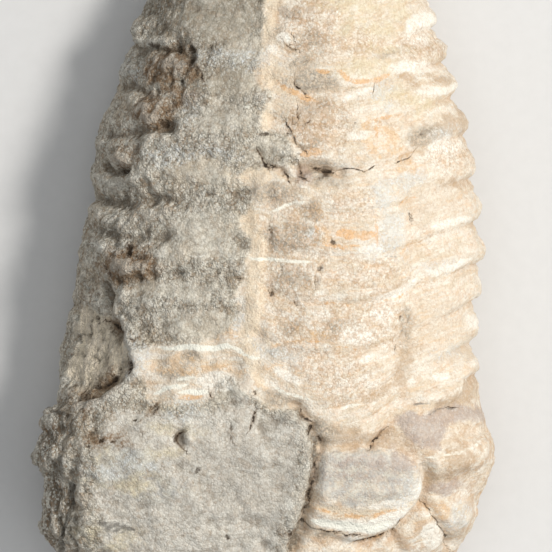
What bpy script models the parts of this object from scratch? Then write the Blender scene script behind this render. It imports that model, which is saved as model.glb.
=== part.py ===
"""A calymenid trilobite fossil as one solid stone: the arched animal with the rock still clinging to it.

It lies on its rubbed-flat underside, back up, rolled a little to one side.
-Y is the head end, +Y the tail, +X the bare flank, -X the flank under rock, +Z up.
Every length in the tables is in millimetres; the mesh is scaled to metres at the end.
The form starts as a ball. Its points are laid onto a smooth dome with the fossil's outline, then
moved along the dome's normals for the rings, ribs, furrows, lobes, ledges, pits and rough rock.
"""

import bmesh
import bpy
import numpy as np
from mathutils import Vector

NODE = "trilobite"
METRES = 0.001              # one table unit, a millimetre, in metres

# ---- size and general form ----
HALF_LENGTH = 34.9          # tail tip at +Y, front of the head at -Y
MARGIN_HEIGHT = 5.6         # height of the widest line above the base plane
UNDER_DEPTH = 7.2           # how far the rounded underside would reach below the widest line
UNDER_POWER = 1.8           # roundness of the underside's cross-section, 2 is an ellipse
ROWS = 176                  # rows of points from tail to head
TOP_COLUMNS = 110           # points across the back
UNDER_COLUMNS = 34          # points across the underside
SECTION_SAMPLES = 160       # fine points along a quarter of a cross-section, before they are evened
SOLID_TRIANGLES = 9600      # triangles the solid is thinned to
BASE_WHISKER = 0.02         # points lower than this are brought onto the base plane
STONE_COLOUR = (0.62, 0.53, 0.40, 1.0)
STONE_ROUGHNESS = 0.85

# Outline seen from above, (x, y), tail tip to the front of the head.
RIGHT_OUTLINE = [
    (3.1, 34.9), (8.2, 33.2), (10.6, 30.4), (12.4, 27.2), (13.4, 24.1), (14.3, 21.4), (15.0, 18.9),
    (15.8, 16.0), (16.8, 12.4), (17.8, 9.4), (18.4, 5.4), (18.9, 1.6), (19.0, -2.2), (18.7, -5.6),
    (18.4, -9.1), (18.6, -10.5), (18.9, -12.5), (19.3, -14.6), (19.6, -16.7), (20.0, -17.7),
    (20.4, -18.6), (20.6, -20.2), (20.2, -21.2), (19.6, -22.5), (19.2, -23.2), (19.0, -25.1),
    (18.5, -25.9), (17.8, -27.2), (17.2, -28.2), (16.1, -29.9), (14.3, -31.7), (11.3, -33.4),
    (6.5, -34.6), (0.0, -34.9),
]
LEFT_OUTLINE = [
    (3.1, 34.9), (-2.0, 33.2), (-5.0, 30.4), (-7.4, 27.2), (-9.0, 24.1), (-10.3, 21.4), (-11.2, 19.8),
    (-11.8, 18.7), (-11.9, 17.6), (-12.2, 16.7), (-12.8, 15.1), (-13.4, 12.8), (-13.9, 11.5),
    (-14.5, 10.4), (-15.1, 9.2), (-15.4, 7.9), (-15.4, 6.5), (-15.6, 5.7), (-15.2, 4.3), (-15.2, 3.4),
    (-15.8, 2.0), (-16.2, 1.2), (-16.4, 0.2), (-16.7, -1.1), (-16.9, -2.9), (-17.0, -4.7),
    (-17.1, -6.1), (-17.6, -7.4), (-18.0, -8.5), (-18.2, -10.1), (-18.3, -11.5), (-18.5, -13.3),
    (-18.6, -15.0), (-19.5, -15.8), (-19.9, -16.6), (-19.8, -17.5), (-20.3, -18.4), (-20.6, -19.6),
    (-20.3, -20.5), (-19.9, -21.2), (-19.5, -22.0), (-19.4, -23.6), (-19.5, -25.0), (-19.8, -25.9),
    (-19.6, -26.8), (-19.0, -27.7), (-18.3, -28.4), (-16.7, -30.1), (-14.0, -32.1), (-9.5, -33.8),
    (-5.0, -34.6), (0.0, -34.9),
]
# Along the body, (y, value): height of the crest above the base, the crest's x, and how boxy each
# flank's cross-section is (2 is an ellipse, more is squarer).
CREST_HEIGHT = [
    (34.9, 5.6), (33.6, 8.8), (30.4, 11.8), (26.5, 14.0), (21.4, 15.9), (14.0, 17.6), (6.0, 18.7),
    (-3.0, 19.2), (-11.0, 19.2), (-19.0, 18.3), (-24.5, 16.6), (-28.3, 14.3), (-31.0, 12.0),
    (-33.2, 9.2), (-34.9, 5.6),
]
LENGTH_SAMPLES = 2000       # fine points along the body, before the rows are evened
WIDENING_WEIGHT = 0.5       # how much the widening of the body counts in the spacing of the rows
UNDER_SWELL = (1.15, 0.55)  # how fast the underside deepens from the two ends: factor and power
TINY = 1e-9                 # lengths below this count as nothing
CREST_X = [(34.9, 3.1), (20.0, 2.8), (0.0, 3.4), (-12.0, 3.0), (-24.0, 1.2), (-34.9, 0.0)]
RIGHT_POWER = [(34.9, 2.0), (-12.0, 2.0), (-20.0, 2.15), (-34.9, 2.1)]
LEFT_POWER = [(34.9, 2.0), (20.0, 2.2), (-9.0, 2.3), (-13.0, 2.8), (-16.5, 3.7), (-19.5, 4.2), (-28.0, 4.2),
              (-34.9, 2.2)]

# ---- the animal ----
# Along the body, (y, value): x of its middle line and half the width of its raised axis.
MIDDLE_X = [(34.9, 3.1), (26.6, 4.9), (21.4, 5.3), (13.3, 5.5), (7.0, 6.2), (-1.1, 6.6), (-5.6, 6.2),
            (-10.1, 5.4), (-14.6, 5.0), (-20.0, 4.8), (-34.9, 2.0)]
AXIS_HALF_WIDTH = [(34.9, 1.0), (31.0, 2.6), (26.6, 4.0), (21.4, 5.0), (13.3, 5.7), (7.0, 6.6), (-1.1, 7.3),
                   (-5.6, 7.2), (-10.1, 6.8), (-14.6, 6.5), (-18.0, 6.1), (-34.9, 6.0)]
# Edges of the rings on the middle line, from behind the head to the tail.
RING_EDGES = [-19.2, -17.1, -15.1, -10.3, -5.9, -1.7, 2.2, 6.1, 9.6, 12.9, 16.1, 19.0, 21.8, 24.3, 26.6,
              28.5, 30.1, 31.5, 32.7, 33.7]
# How far each ring edge has swept towards the tail, (y of the edge, sweep).
SWEEP_AT_RIGHT_FURROW = [(-17.0, 2.7), (-15.0, 2.8), (-10.0, 1.6), (-2.0, 1.4), (6.0, 1.3), (20.0, 1.0),
                         (34.0, 0.4)]
SWEEP_AT_RIGHT_MARGIN = [(-17.0, 4.9), (-15.0, 5.8), (-10.0, 4.7), (-6.0, 3.7), (-2.0, 3.2), (6.0, 3.3),
                         (20.0, 2.7), (34.0, 1.6)]
SWEEP_AT_LEFT_FURROW = [(-16.0, 2.3), (20.0, 1.4), (34.0, 0.5)]
LEFT_SWEEP_BACK = 0.25      # share of the left sweep that is lost again towards the margin
LEAST_FLANK = 0.5           # a flank counts as at least this wide where the outline closes in
SWEEP_SOLVE_STEPS = 4
RING_RELIEF = 0.36          # height of a ring over its furrow
RIB_RELIEF = (0.16, 1.05)   # height of a rib beside the axis and at the margin
RIB_RISE = 2.6              # power with which a rib rises towards the margin
BURIED_RELIEF = 0.22        # the same under the rock of the left flank
RING_PEAK_POWER = 0.55      # under 1 puts the peak of a ring near its front edge
RING_BLUNTNESS = 0.75       # under 1 makes a ring's back flatter
SUNK_SHARES = (0.6, 0.35, 0.5)    # share of a ring, a rib and a buried ring that lies under the dome
BURIED_FROM = (0.8, 1.3)    # the rock takes over here, left of the middle in half widths of the axis
FULL_PITCH = 3.2            # rings closer together than this are lower
LEAST_SMALL_RING = 0.25     # height share of the smallest rings
RIB_FURROW = (0.66, 0.10, 0.16)   # groove along a rib: place across it, width, depth share
AXIAL_FURROW = (1.25, 0.55)       # width and depth beside the axis on the bare flank
AXIS_LOBE = (0.75, 0.30)          # swelling of the axis: half width in its own, height
LEFT_BAND = (0.62, 0.16)          # the narrow raised strip along the axis's left edge
HEAD_FADE = (-19.6, -17.4)        # rings fade out over this stretch of y
FURROW_FADE = (-19.0, -17.5)      # and the furrow beside them over this one


def ramp(value, low, high):
    """0 below low, 1 above high, smooth between."""
    t = np.clip((value - low) / (high - low), 0.0, 1.0)
    return t * t * (3.0 - 2.0 * t)


def body_angle(y):
    """The angle that turns evenly from one rounded end of the body to the other."""
    return np.arcsin(np.clip(np.asarray(y, float) / HALF_LENGTH, -1.0, 1.0))


def along_body(pairs, y):
    """Interpolate (y, value) pairs, evenly in the body angle so that the ends come out round."""
    places = body_angle([pair[0] for pair in pairs])
    values = np.array([pair[1] for pair in pairs], float)
    order = np.argsort(places)
    return np.interp(body_angle(y), places[order], values[order])


def by_y(points):
    """(x, y) points as (y, x) pairs."""
    return [(y, x) for x, y in points]


# ---------------------------------------------------------------- smooth dome
def row_places():
    """y of each row of points, evenly spaced along the crest."""
    fine = HALF_LENGTH * np.sin(np.linspace(0.5 * np.pi, -0.5 * np.pi, LENGTH_SAMPLES))
    height = along_body(CREST_HEIGHT, fine)
    half_width = 0.5 * (along_body(by_y(RIGHT_OUTLINE), fine) - along_body(by_y(LEFT_OUTLINE), fine))
    widening = WIDENING_WEIGHT * np.diff(half_width)
    step = np.sqrt(np.diff(fine) ** 2 + np.diff(height) ** 2 + widening ** 2)
    length = np.concatenate([[0.0], np.cumsum(step)])
    return np.interp(np.linspace(0.0, length[-1], ROWS + 1), length, fine)


def evenly_along(x, z, count):
    """count points spaced evenly along the curve (x, z), both ends kept."""
    step = np.hypot(np.diff(x), np.diff(z))
    length = np.concatenate([[0.0], np.cumsum(step)])
    if length[-1] < TINY:
        return np.full(count, x[0]), np.full(count, z[0])
    wanted = np.linspace(0.0, length[-1], count)
    return np.interp(wanted, length, x), np.interp(wanted, length, z)


def quarter(power, count):
    """A quarter of a rounded square of the given power: from (1, 0) to (0, 1)."""
    angle = np.linspace(0.0, 0.5 * np.pi, count)
    return np.cos(angle) ** (2.0 / power), np.sin(angle) ** (2.0 / power)


def section(y):
    """One closed cross-section at y: right margin, over the back, left margin, under and back."""
    right = along_body(by_y(RIGHT_OUTLINE), y)
    left = along_body(by_y(LEFT_OUTLINE), y)
    crest = along_body(CREST_X, y)
    rise = along_body(CREST_HEIGHT, y) - MARGIN_HEIGHT
    rx, rz = quarter(along_body(RIGHT_POWER, y), SECTION_SAMPLES)
    lx, lz = quarter(along_body(LEFT_POWER, y), SECTION_SAMPLES)
    over_x = np.concatenate([crest + (right - crest) * rx, (crest + (left - crest) * lx)[::-1]])
    over_z = MARGIN_HEIGHT + rise * np.concatenate([rz, lz[::-1]])
    top = evenly_along(over_x, over_z, TOP_COLUMNS + 1)
    centre = 0.5 * (right + left)
    half = 0.5 * (right - left)
    share = rise / (max(v for _, v in CREST_HEIGHT) - MARGIN_HEIGHT)
    depth = UNDER_DEPTH * min(1.0, UNDER_SWELL[0] * share ** UNDER_SWELL[1])
    ux, uz = quarter(UNDER_POWER, SECTION_SAMPLES)
    under_x = np.concatenate([centre - half * ux, (centre + half * ux)[::-1]])
    under_z = MARGIN_HEIGHT - depth * np.concatenate([uz, uz[::-1]])
    low = evenly_along(under_x, under_z, UNDER_COLUMNS + 1)
    x = np.concatenate([top[0][:-1], low[0][:-1]])
    z = np.concatenate([top[1][:-1], low[1][:-1]])
    return np.stack([x, np.full(x.shape, float(y)), z], axis=-1)


def dome_points():
    """Points of the smooth dome, [row, column, xyz]."""
    return np.stack([section(y) for y in row_places()])


def dome_normals(points):
    """Outward unit normals of the dome at its points."""
    along = np.gradient(points, axis=0)
    across = np.roll(points, -1, axis=1) - np.roll(points, 1, axis=1)
    normal = np.cross(across, along)
    size = np.linalg.norm(normal, axis=-1, keepdims=True)
    normal = normal / np.maximum(size, TINY)
    normal[0] = (0.0, 1.0, 0.0)
    normal[-1] = (0.0, -1.0, 0.0)
    return normal


# ---------------------------------------------------------------- rings and ribs
def sweep(x, y_edge, y):
    """How far the ring edge that crosses the middle at y_edge has swept towards the tail at x."""
    middle = along_body(MIDDLE_X, y)
    half = along_body(AXIS_HALF_WIDTH, y)
    right = along_body(by_y(RIGHT_OUTLINE), y)
    left = along_body(by_y(LEFT_OUTLINE), y)
    side = (x - middle) / half
    past_right = np.clip((x - middle - half) / np.maximum(right - middle - half, LEAST_FLANK), 0.0, 1.0)
    past_left = np.clip((middle - half - x) / np.maximum(middle - half - left, LEAST_FLANK), 0.0, 1.0)
    at_right = along_body(SWEEP_AT_RIGHT_FURROW, y_edge)
    at_margin = along_body(SWEEP_AT_RIGHT_MARGIN, y_edge)
    at_left = along_body(SWEEP_AT_LEFT_FURROW, y_edge)
    on_right = at_right * np.minimum(side, 1.0) ** 2 + (at_margin - at_right) * past_right
    on_left = at_left * (np.minimum(-side, 1.0) ** 2 - LEFT_SWEEP_BACK * past_left)
    return np.where(side > 0.0, on_right, on_left)


def ring_phase(x, y):
    """Ring number and place across the ring, 0 at its front edge to 1 at its rear edge."""
    edges = np.array(RING_EDGES)
    on_middle = y.copy()
    for _ in range(SWEEP_SOLVE_STEPS):
        on_middle = y - sweep(x, on_middle, y)
    number = np.clip(np.searchsorted(edges, on_middle) - 1, 0, len(edges) - 2)
    phase = (on_middle - edges[number]) / (edges[number + 1] - edges[number])
    return number, np.clip(phase, 0.0, 1.0), on_middle


def ring_profile(phase):
    """Rounded ridge that stands tallest near its front edge."""
    return np.sin(np.pi * phase ** RING_PEAK_POWER) ** RING_BLUNTNESS


def segment_relief(x, y):
    """Height of rings and ribs over the dome."""
    number, phase, on_middle = ring_phase(x, y)
    middle = along_body(MIDDLE_X, y)
    half = along_body(AXIS_HALF_WIDTH, y)
    right = along_body(by_y(RIGHT_OUTLINE), y)
    side = (x - middle) / half
    past = np.clip((x - middle - half) / np.maximum(right - middle - half, LEAST_FLANK), 0.0, 1.0)
    ridge = ring_profile(phase)
    ring_sunk, rib_sunk, buried_sunk = SUNK_SHARES
    place, width, share = RIB_FURROW
    groove = share * np.exp(-((phase - place) / width) ** 2)
    rib_height = RIB_RELIEF[0] + (RIB_RELIEF[1] - RIB_RELIEF[0]) * past ** RIB_RISE
    rib = rib_height * (ridge - groove - rib_sunk)
    ring = RING_RELIEF * (ridge - ring_sunk)
    buried = BURIED_RELIEF * (np.sin(np.pi * phase) - buried_sunk)
    relief = np.where(side > 1.0, rib, ring)
    to_left = ramp(-side, *BURIED_FROM)
    relief = relief * (1.0 - to_left) + buried * to_left
    pitch = np.diff(RING_EDGES)[number]
    small = np.clip(pitch / FULL_PITCH, LEAST_SMALL_RING, 1.0)
    return relief * small * ramp(on_middle, *HEAD_FADE)


def furrow_relief(x, y):
    """The furrow beside the axis on the bare flank and the strip along its other edge."""
    middle = along_body(MIDDLE_X, y)
    half = along_body(AXIS_HALF_WIDTH, y)
    width, depth = AXIAL_FURROW
    furrow = -depth * np.exp(-((x - middle - half) / width) ** 2)
    width, height = AXIS_LOBE
    lobe = height * np.exp(-((x - middle) / (width * half)) ** 4)
    width, height = LEFT_BAND
    band = height * np.exp(-((x - middle + half) / width) ** 4)
    return (furrow + lobe + band) * ramp(y, *FURROW_FADE)


# ---------------------------------------------------------------- local forms
# Lines: (points, width, height). Negative heights are grooves, cracks and valleys.
LINES = [
    # behind and beside the head, bare side
    ([(12.6, -14.9), (14.3, -14.8), (15.4, -15.0)], 0.40, -0.35),
    ([(14.1, -19.6), (16.0, -19.4), (18.5, -18.8), (20.2, -18.2)], 0.90, 0.35),
    ([(10.7, -17.4), (9.9, -18.2), (9.2, -18.9)], 0.40, -0.50),
    ([(14.2, -20.6), (14.4, -22.0), (14.1, -23.6), (12.9, -25.2), (11.2, -26.6), (8.2, -27.4)], 0.50, -0.80),
    ([(14.2, -23.7), (15.6, -25.7), (16.6, -27.8)], 0.30, -0.30),
    ([(5.0, -18.8), (8.5, -18.3), (12.0, -18.9), (13.8, -19.7)], 0.60, -0.28),
    # edge of the rock over the middle of the head
    ([(2.5, -15.0), (4.1, -16.6), (3.9, -17.4), (4.8, -18.3), (4.5, -20.8), (4.1, -22.8), (3.4, -25.0),
      (3.2, -26.0), (2.4, -27.8)], 0.50, -0.70),
    # cracks in the rock over the back
    ([(-0.7, 7.8), (0.0, 6.4), (1.2, 6.0), (2.3, 4.8)], 0.45, -0.40),
    ([(3.2, 6.0), (4.4, 6.4), (6.5, 5.7)], 0.50, -0.85),
    # border and free cheek at the front of the head
    ([(17.0, -27.6), (15.2, -29.6), (12.4, -31.3), (8.8, -32.6), (4.4, -33.3)], 0.75, -0.55),
    ([(11.2, -26.6), (12.2, -28.6), (11.9, -30.8)], 0.55, -0.45),
    # ledges of the rock flank
    ([(-13.4, 13.6), (-11.8, 13.5), (-10.6, 13.0)], 0.45, -0.45),
    ([(-9.2, 16.7), (-7.8, 16.9), (-6.6, 15.8)], 0.50, -0.45),
    ([(-14.0, 9.2), (-12.6, 9.2), (-11.2, 9.5), (-8.6, 9.8)], 0.55, -0.65),
    ([(-14.4, 6.4), (-13.8, 5.7), (-12.6, 6.0)], 0.50, -0.90),
    ([(-14.8, 3.2), (-12.4, 2.9), (-9.0, 3.4)], 0.70, -0.55),
    ([(-15.8, 0.8), (-12.0, -0.1), (-9.6, 0.0)], 0.55, -0.40),
    ([(-14.6, -4.2), (-14.2, -6.0)], 0.45, -0.60),
]
# Ledges: (points, width of the slope, reach, height). The stone stands higher on the right-hand side
# of someone walking along the points, and sinks back over the reach.
LEDGES = [
    # rock over the head, its edge above the middle lobe and its edge above the flank
    ([(2.2, -14.6), (4.0, -16.5), (4.3, -18.4), (4.2, -20.8), (3.8, -22.8), (3.1, -25.2), (2.2, -27.8),
      (1.4, -31.0)], 0.45, 2.6, 0.50),
    ([(-16.7, -30.0), (-17.1, -27.0), (-16.5, -24.2), (-17.0, -21.5), (-16.6, -18.6)], 0.45, 2.6, 0.36),
    # rim of the scoop in the rock flank
    ([(-17.8, -15.2), (-14.9, -14.4), (-12.8, -12.9), (-11.9, -11.6), (-12.6, -9.2), (-13.8, -6.8)],
     0.45, 2.4, 0.55),
    # overhanging block near the tail
    ([(-8.0, 16.7), (-10.4, 16.8), (-12.2, 17.3)], 0.40, 1.8, 0.60),
    # last rib above the cheek, and the cheek above its border
    ([(19.6, -11.4), (18.3, -12.9), (17.3, -14.6), (15.9, -15.5), (14.3, -16.0), (12.8, -15.2)],
     1.10, 2.6, 0.60),
    ([(20.6, -20.3), (18.4, -21.1), (16.6, -21.8), (14.2, -22.0)], 1.30, 3.4, 0.54),
    # step across the flank
    ([(-6.5, -12.0), (-10.5, -11.0), (-12.0, -8.0)], 0.50, 1.4, 0.15),
]
# Lumps and hollows: (x, y, half length, half width, turn in degrees, height).
LUMPS = [
    (-8.5, 15.0, 2.2, 1.7, 10.0, 0.50),
    (-10.0, 11.0, 1.6, 1.5, 0.0, 0.55),
    (-12.8, 6.9, 0.9, 1.2, 0.0, 0.60),
    (-12.3, -2.7, 2.1, 1.0, 0.0, 0.70),
    (-12.4, 15.0, 0.9, 1.2, 0.0, 0.35),
    (-11.6, 18.9, 1.2, 0.9, 20.0, 0.50),
    (-14.6, -10.6, 2.3, 3.6, 0.0, -0.30),
    (-17.3, -7.6, 0.6, 1.5, 0.0, 0.45),
    (-8.9, -2.0, 3.5, 2.4, 0.0, 0.15),
    (-1.6, -13.4, 1.9, 1.3, 0.0, 0.45),
    (-7.5, -18.0, 0.9, 1.2, 0.0, -0.55),
    (-7.0, -17.8, 0.5, 0.7, 0.0, 0.60),
    (-19.9, -19.6, 1.2, 1.7, 0.0, 0.20),
    (-19.4, -16.4, 1.1, 1.0, 0.0, 0.20),
    (13.8, 7.4, 1.6, 1.1, 30.0, -0.30),
    (14.0, -17.2, 2.0, 1.9, 0.0, 0.45),
    (18.6, -16.4, 2.2, 1.0, 0.0, 0.50),
    (12.2, -9.9, 0.5, 0.9, 20.0, -0.25),
    (12.3, -7.2, 0.5, 0.9, 0.0, -0.20),
    (16.8, -24.6, 2.2, 2.4, 20.0, 0.45),
]
# Plates with an edge all round: (outline, softness of the edge, height).
PLATES = [
    # rock left over the head
    ([(2.6, -14.8), (4.0, -16.7), (4.5, -18.4), (4.2, -21.0), (3.9, -22.9), (3.2, -25.2), (2.4, -27.6),
      (1.5, -31.0), (-6.0, -33.5), (-15.0, -30.0), (-16.7, -27.0), (-16.8, -22.5), (-16.6, -18.4),
      (-14.9, -15.2), (-12.0, -14.0), (-8.5, -14.4), (-4.4, -14.1), (-3.6, -12.9), (-1.2, -12.6),
      (0.0, -14.3)], 1.80, 0.10),
    # the scoop in the rock flank
    ([(-12.2, -11.4), (-12.9, -9.2), (-14.0, -6.8), (-16.0, -6.2), (-17.2, -8.4), (-17.4, -12.0),
      (-17.0, -14.9), (-14.9, -14.2), (-13.0, -12.9)], 0.55, -0.60),
    # right lobe of the middle of the head and the two worn layers in front of it
    ([(4.6, -19.2), (7.1, -18.8), (9.8, -18.9), (11.6, -19.2), (12.9, -19.8), (13.5, -20.6),
      (13.5, -21.8), (12.7, -23.0), (11.3, -23.8), (9.3, -24.2), (7.1, -24.2), (5.3, -23.6),
      (4.3, -22.8), (4.4, -21.0)], 0.45, 0.34),
    ([(4.3, -19.0), (12.0, -19.3), (13.4, -20.2), (14.1, -21.4), (14.2, -22.7), (13.3, -24.0),
      (11.7, -25.0), (8.6, -25.5), (5.5, -25.0), (3.9, -24.3)], 0.28, 0.26),
    ([(3.6, -22.0), (14.0, -22.0), (13.2, -24.4), (11.9, -25.8), (10.0, -26.8), (8.0, -27.2),
      (5.6, -26.3), (3.5, -25.7)], 0.24, 0.36),
    # front lobe of the middle of the head
    ([(2.8, -27.8), (5.6, -27.3), (8.8, -28.0), (10.8, -29.0), (10.6, -30.9), (7.6, -32.0),
      (3.6, -32.6), (1.6, -32.4), (1.9, -30.4)], 0.45, 0.40),
]
LEDGE_FADE = (1.0, 0.4)     # a ledge fades out over this length at its ends, or this share of it
LUMP_EDGE = (0.25, 1.15)    # a lump falls away between these shares of its half sizes
ROUGH_SCALE = 0.40          # per millimetre
ROUGH_STEP = (2.03, 7.7, 0.55)    # finer by, shifted by and weaker by, from layer to layer
ROUGH_ROCK = 0.30           # height of the roughness on rock and on bare shell
ROUGH_SHELL = 0.12
ROCK_EDGE_X = (-1.0, 3.0)   # the rock gives way to the bare back over this stretch of x
TIP_FADE = 2.0              # relief fades in over this length from either end of the body
# Relief fades out where the dome leans over: upward part of its normal, none and full.
SEGMENT_LEAN = (-0.75, -0.15)
FURROW_LEAN = (0.0, 0.4)
LOCAL_LEAN = (-0.1, 0.45)
LATTICE_MIX = (374761393, 668265263, 1274126177, 974711)   # odd numbers that scatter the lattice
LATTICE_MASK = 0xFFFFFFFF
NOISE_TURN = np.array([[0.80, 0.36, -0.48], [-0.60, 0.48, -0.64], [0.0, 0.80, 0.60]])   # a rotation


def distance_to_line(x, y, line):
    """Distance of each point from a chain of straight pieces."""
    best = np.full(x.shape, 1.0e6)
    for (ax, ay), (bx, by) in zip(line[:-1], line[1:]):
        dx, dy = bx - ax, by - ay
        t = np.clip(((x - ax) * dx + (y - ay) * dy) / max(dx * dx + dy * dy, TINY), 0.0, 1.0)
        best = np.minimum(best, np.hypot(x - ax - t * dx, y - ay - t * dy))
    return best


def walk(x, y, line):
    """Signed distance from a chain of pieces, its right-hand side positive, and the place along it."""
    best = np.full(x.shape, 1.0e6)
    side = np.zeros(x.shape)
    place = np.zeros(x.shape)
    walked = 0.0
    for (ax, ay), (bx, by) in zip(line[:-1], line[1:]):
        dx, dy = bx - ax, by - ay
        length = max(np.hypot(dx, dy), 1e-6)
        t = np.clip(((x - ax) * dx + (y - ay) * dy) / length ** 2, 0.0, 1.0)
        gap = np.hypot(x - ax - t * dx, y - ay - t * dy)
        turn = np.sign((x - ax) * dy - (y - ay) * dx)
        closer = gap < best
        best = np.where(closer, gap, best)
        side = np.where(closer, turn * gap, side)
        place = np.where(closer, walked + t * length, place)
        walked += length
    return side, place, walked


def ledge_share(x, y, line, slope, reach):
    """1 just past the edge of a ledge, 0 before it and beyond its reach, fading at the line's ends."""
    side, place, length = walk(x, y, line)
    fade = min(LEDGE_FADE[0], LEDGE_FADE[1] * length)
    ends = ramp(place, 0.0, fade) * ramp(length - place, 0.0, fade)
    return ramp(side, 0.0, slope) * (1.0 - ramp(side, slope, reach)) * ends


def inside(x, y, outline):
    """True for the points inside a closed outline."""
    found = np.zeros(x.shape, bool)
    for (ax, ay), (bx, by) in zip(outline, outline[1:] + outline[:1]):
        if ay == by:
            continue
        crosses = (ay > y) != (by > y)
        found ^= crosses & (x < ax + (y - ay) * (bx - ax) / (by - ay))
    return found


def plate_share(x, y, outline, softness):
    """0 outside a plate, 1 on it, with a rounded edge of the given softness."""
    distance = distance_to_line(x, y, outline + outline[:1])
    signed = np.where(inside(x, y, outline), distance, -distance)
    return ramp(signed, -softness, softness)


def local_relief(x, y):
    """Height of every listed line, lump and plate."""
    height = np.zeros(x.shape)
    for line, width, tall in LINES:
        height += tall * np.exp(-(distance_to_line(x, y, line) / width) ** 2)
    for line, slope, reach, tall in LEDGES:
        height += tall * ledge_share(x, y, line, slope, reach)
    for cx, cy, long, wide, turn, tall in LUMPS:
        c, s = np.cos(np.radians(turn)), np.sin(np.radians(turn))
        u = ((x - cx) * c + (y - cy) * s) / long
        v = ((y - cy) * c - (x - cx) * s) / wide
        height += tall * (1.0 - ramp(np.hypot(u, v), *LUMP_EDGE))
    for outline, softness, tall in PLATES:
        height += tall * plate_share(x, y, outline, softness)
    return height


def lattice(ix, iy, iz, seed):
    """A fixed value in -1..1 for each point of a lattice."""
    mixed = sum(value * odd for value, odd in zip((ix, iy, iz, seed), LATTICE_MIX)) & LATTICE_MASK
    mixed = ((mixed ^ (mixed >> 13)) * LATTICE_MIX[2]) & LATTICE_MASK
    return ((mixed ^ (mixed >> 16)) & 0xFFFF) / 32767.5 - 1.0


def soft_noise(points, seed):
    """Smooth noise in -1..1 with features about one unit across."""
    base = np.floor(points).astype(np.int64)
    part = points - base
    part = part * part * part * (part * (part * 6.0 - 15.0) + 10.0)
    total = np.zeros(points.shape[:-1])
    for corner in np.ndindex(2, 2, 2):
        share = np.ones(points.shape[:-1])
        for axis, far in enumerate(corner):
            share = share * (part[..., axis] if far else 1.0 - part[..., axis])
        total += share * lattice(*(base[..., axis] + corner[axis] for axis in range(3)), seed)
    return total


def roughness(points, scale, seed=1, layers=3):
    """Lumpiness in about -1..1 at each point, its largest lumps 1 / scale mm across."""
    finer, shift, weaker = ROUGH_STEP
    total = np.zeros(points.shape[:-1])
    strength = 1.0
    for layer in range(layers):
        turned = points @ NOISE_TURN.T * scale * finer ** layer + shift * layer
        total += strength * soft_noise(turned, seed + layer)
        strength *= weaker
    return total


def displaced(points, normals):
    """The dome's points moved along its normals by all the relief."""
    x, y = points[..., 0], points[..., 1]
    lean = normals[..., 2]
    tip = ramp(HALF_LENGTH - np.abs(y), 0.0, TIP_FADE)
    rock = 1.0 - ramp(x, *ROCK_EDGE_X)
    rough = (ROUGH_SHELL + (ROUGH_ROCK - ROUGH_SHELL) * rock) * roughness(points, ROUGH_SCALE)
    relief = segment_relief(x, y) * ramp(lean, *SEGMENT_LEAN)
    relief += furrow_relief(x, y) * ramp(lean, *FURROW_LEAN)
    relief += local_relief(x, y) * ramp(lean, *LOCAL_LEAN)
    return points + normals * ((relief + rough) * tip)[..., None]


# ---------------------------------------------------------------- the solid
def wrapped_ball(grid):
    """A ball whose rows and columns are laid onto the grid of points."""
    rows, columns = grid.shape[0] - 1, grid.shape[1]
    bm = bmesh.new()
    bmesh.ops.create_uvsphere(bm, u_segments=columns, v_segments=rows, radius=1.0)
    for vert in bm.verts:
        x, y, z = vert.co
        row = int(round(np.arccos(max(-1.0, min(1.0, z))) / np.pi * rows))
        column = int(round(np.arctan2(y, x) / (2.0 * np.pi) * columns)) % columns
        vert.co = Vector(grid[row, column])
    return bm


def settle_base(bm):
    """Bring the points within a whisker of the base plane, or under it, exactly onto it."""
    for vert in bm.verts:
        if vert.co.z < BASE_WHISKER:
            vert.co.z = 0.0


def cut_flat(bm):
    """Cut the underside away at the base plane and close it with one flat face."""
    everything = bm.verts[:] + bm.edges[:] + bm.faces[:]
    bmesh.ops.bisect_plane(bm, geom=everything, plane_co=(0.0, 0.0, 0.0), plane_no=(0.0, 0.0, 1.0),
                           clear_inner=True, dist=0.5 * BASE_WHISKER)
    rim = [edge for edge in bm.edges if edge.is_boundary]
    bmesh.ops.holes_fill(bm, edges=rim, sides=0)


def thinned(bm, name):
    """A mesh of the solid with about SOLID_TRIANGLES triangles."""
    bmesh.ops.triangulate(bm, faces=bm.faces[:])
    mesh = bpy.data.meshes.new(name + "_full")
    bm.to_mesh(mesh)
    bm.free()
    obj = bpy.data.objects.new(name, mesh)
    bpy.context.scene.collection.objects.link(obj)
    thin = obj.modifiers.new("thin", "DECIMATE")
    thin.ratio = min(1.0, SOLID_TRIANGLES / len(mesh.polygons))
    thin.use_collapse_triangulate = True
    bpy.context.view_layer.update()
    evaluated = obj.evaluated_get(bpy.context.evaluated_depsgraph_get())
    result = bpy.data.meshes.new_from_object(evaluated)
    bpy.data.objects.remove(obj)
    return result


def stone_material():
    """Weathered cream and grey limestone."""
    material = bpy.data.materials.new("fossil_stone")
    material.use_nodes = True
    shader = material.node_tree.nodes["Principled BSDF"]
    shader.inputs["Base Color"].default_value = STONE_COLOUR
    shader.inputs["Roughness"].default_value = STONE_ROUGHNESS
    return material


def build_trilobite():
    """The whole stone as one closed solid in metres."""
    points = dome_points()
    grid = displaced(points, dome_normals(points))
    bm = wrapped_ball(grid)
    cut_flat(bm)
    thin_mesh = thinned(bm, NODE)
    bm = bmesh.new()
    bm.from_mesh(thin_mesh)
    settle_base(bm)
    bmesh.ops.triangulate(bm, faces=bm.faces[:])
    bmesh.ops.scale(bm, vec=(METRES, METRES, METRES), verts=bm.verts[:])
    bmesh.ops.recalc_face_normals(bm, faces=bm.faces[:])
    mesh = bpy.data.meshes.new(NODE)
    bm.to_mesh(mesh)
    bm.free()
    mesh.materials.append(stone_material())
    obj = bpy.data.objects.new(NODE, mesh)
    bpy.context.scene.collection.objects.link(obj)
    return obj


def main():
    for old in list(bpy.data.objects):
        bpy.data.objects.remove(old)
    build_trilobite()


main()
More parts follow.
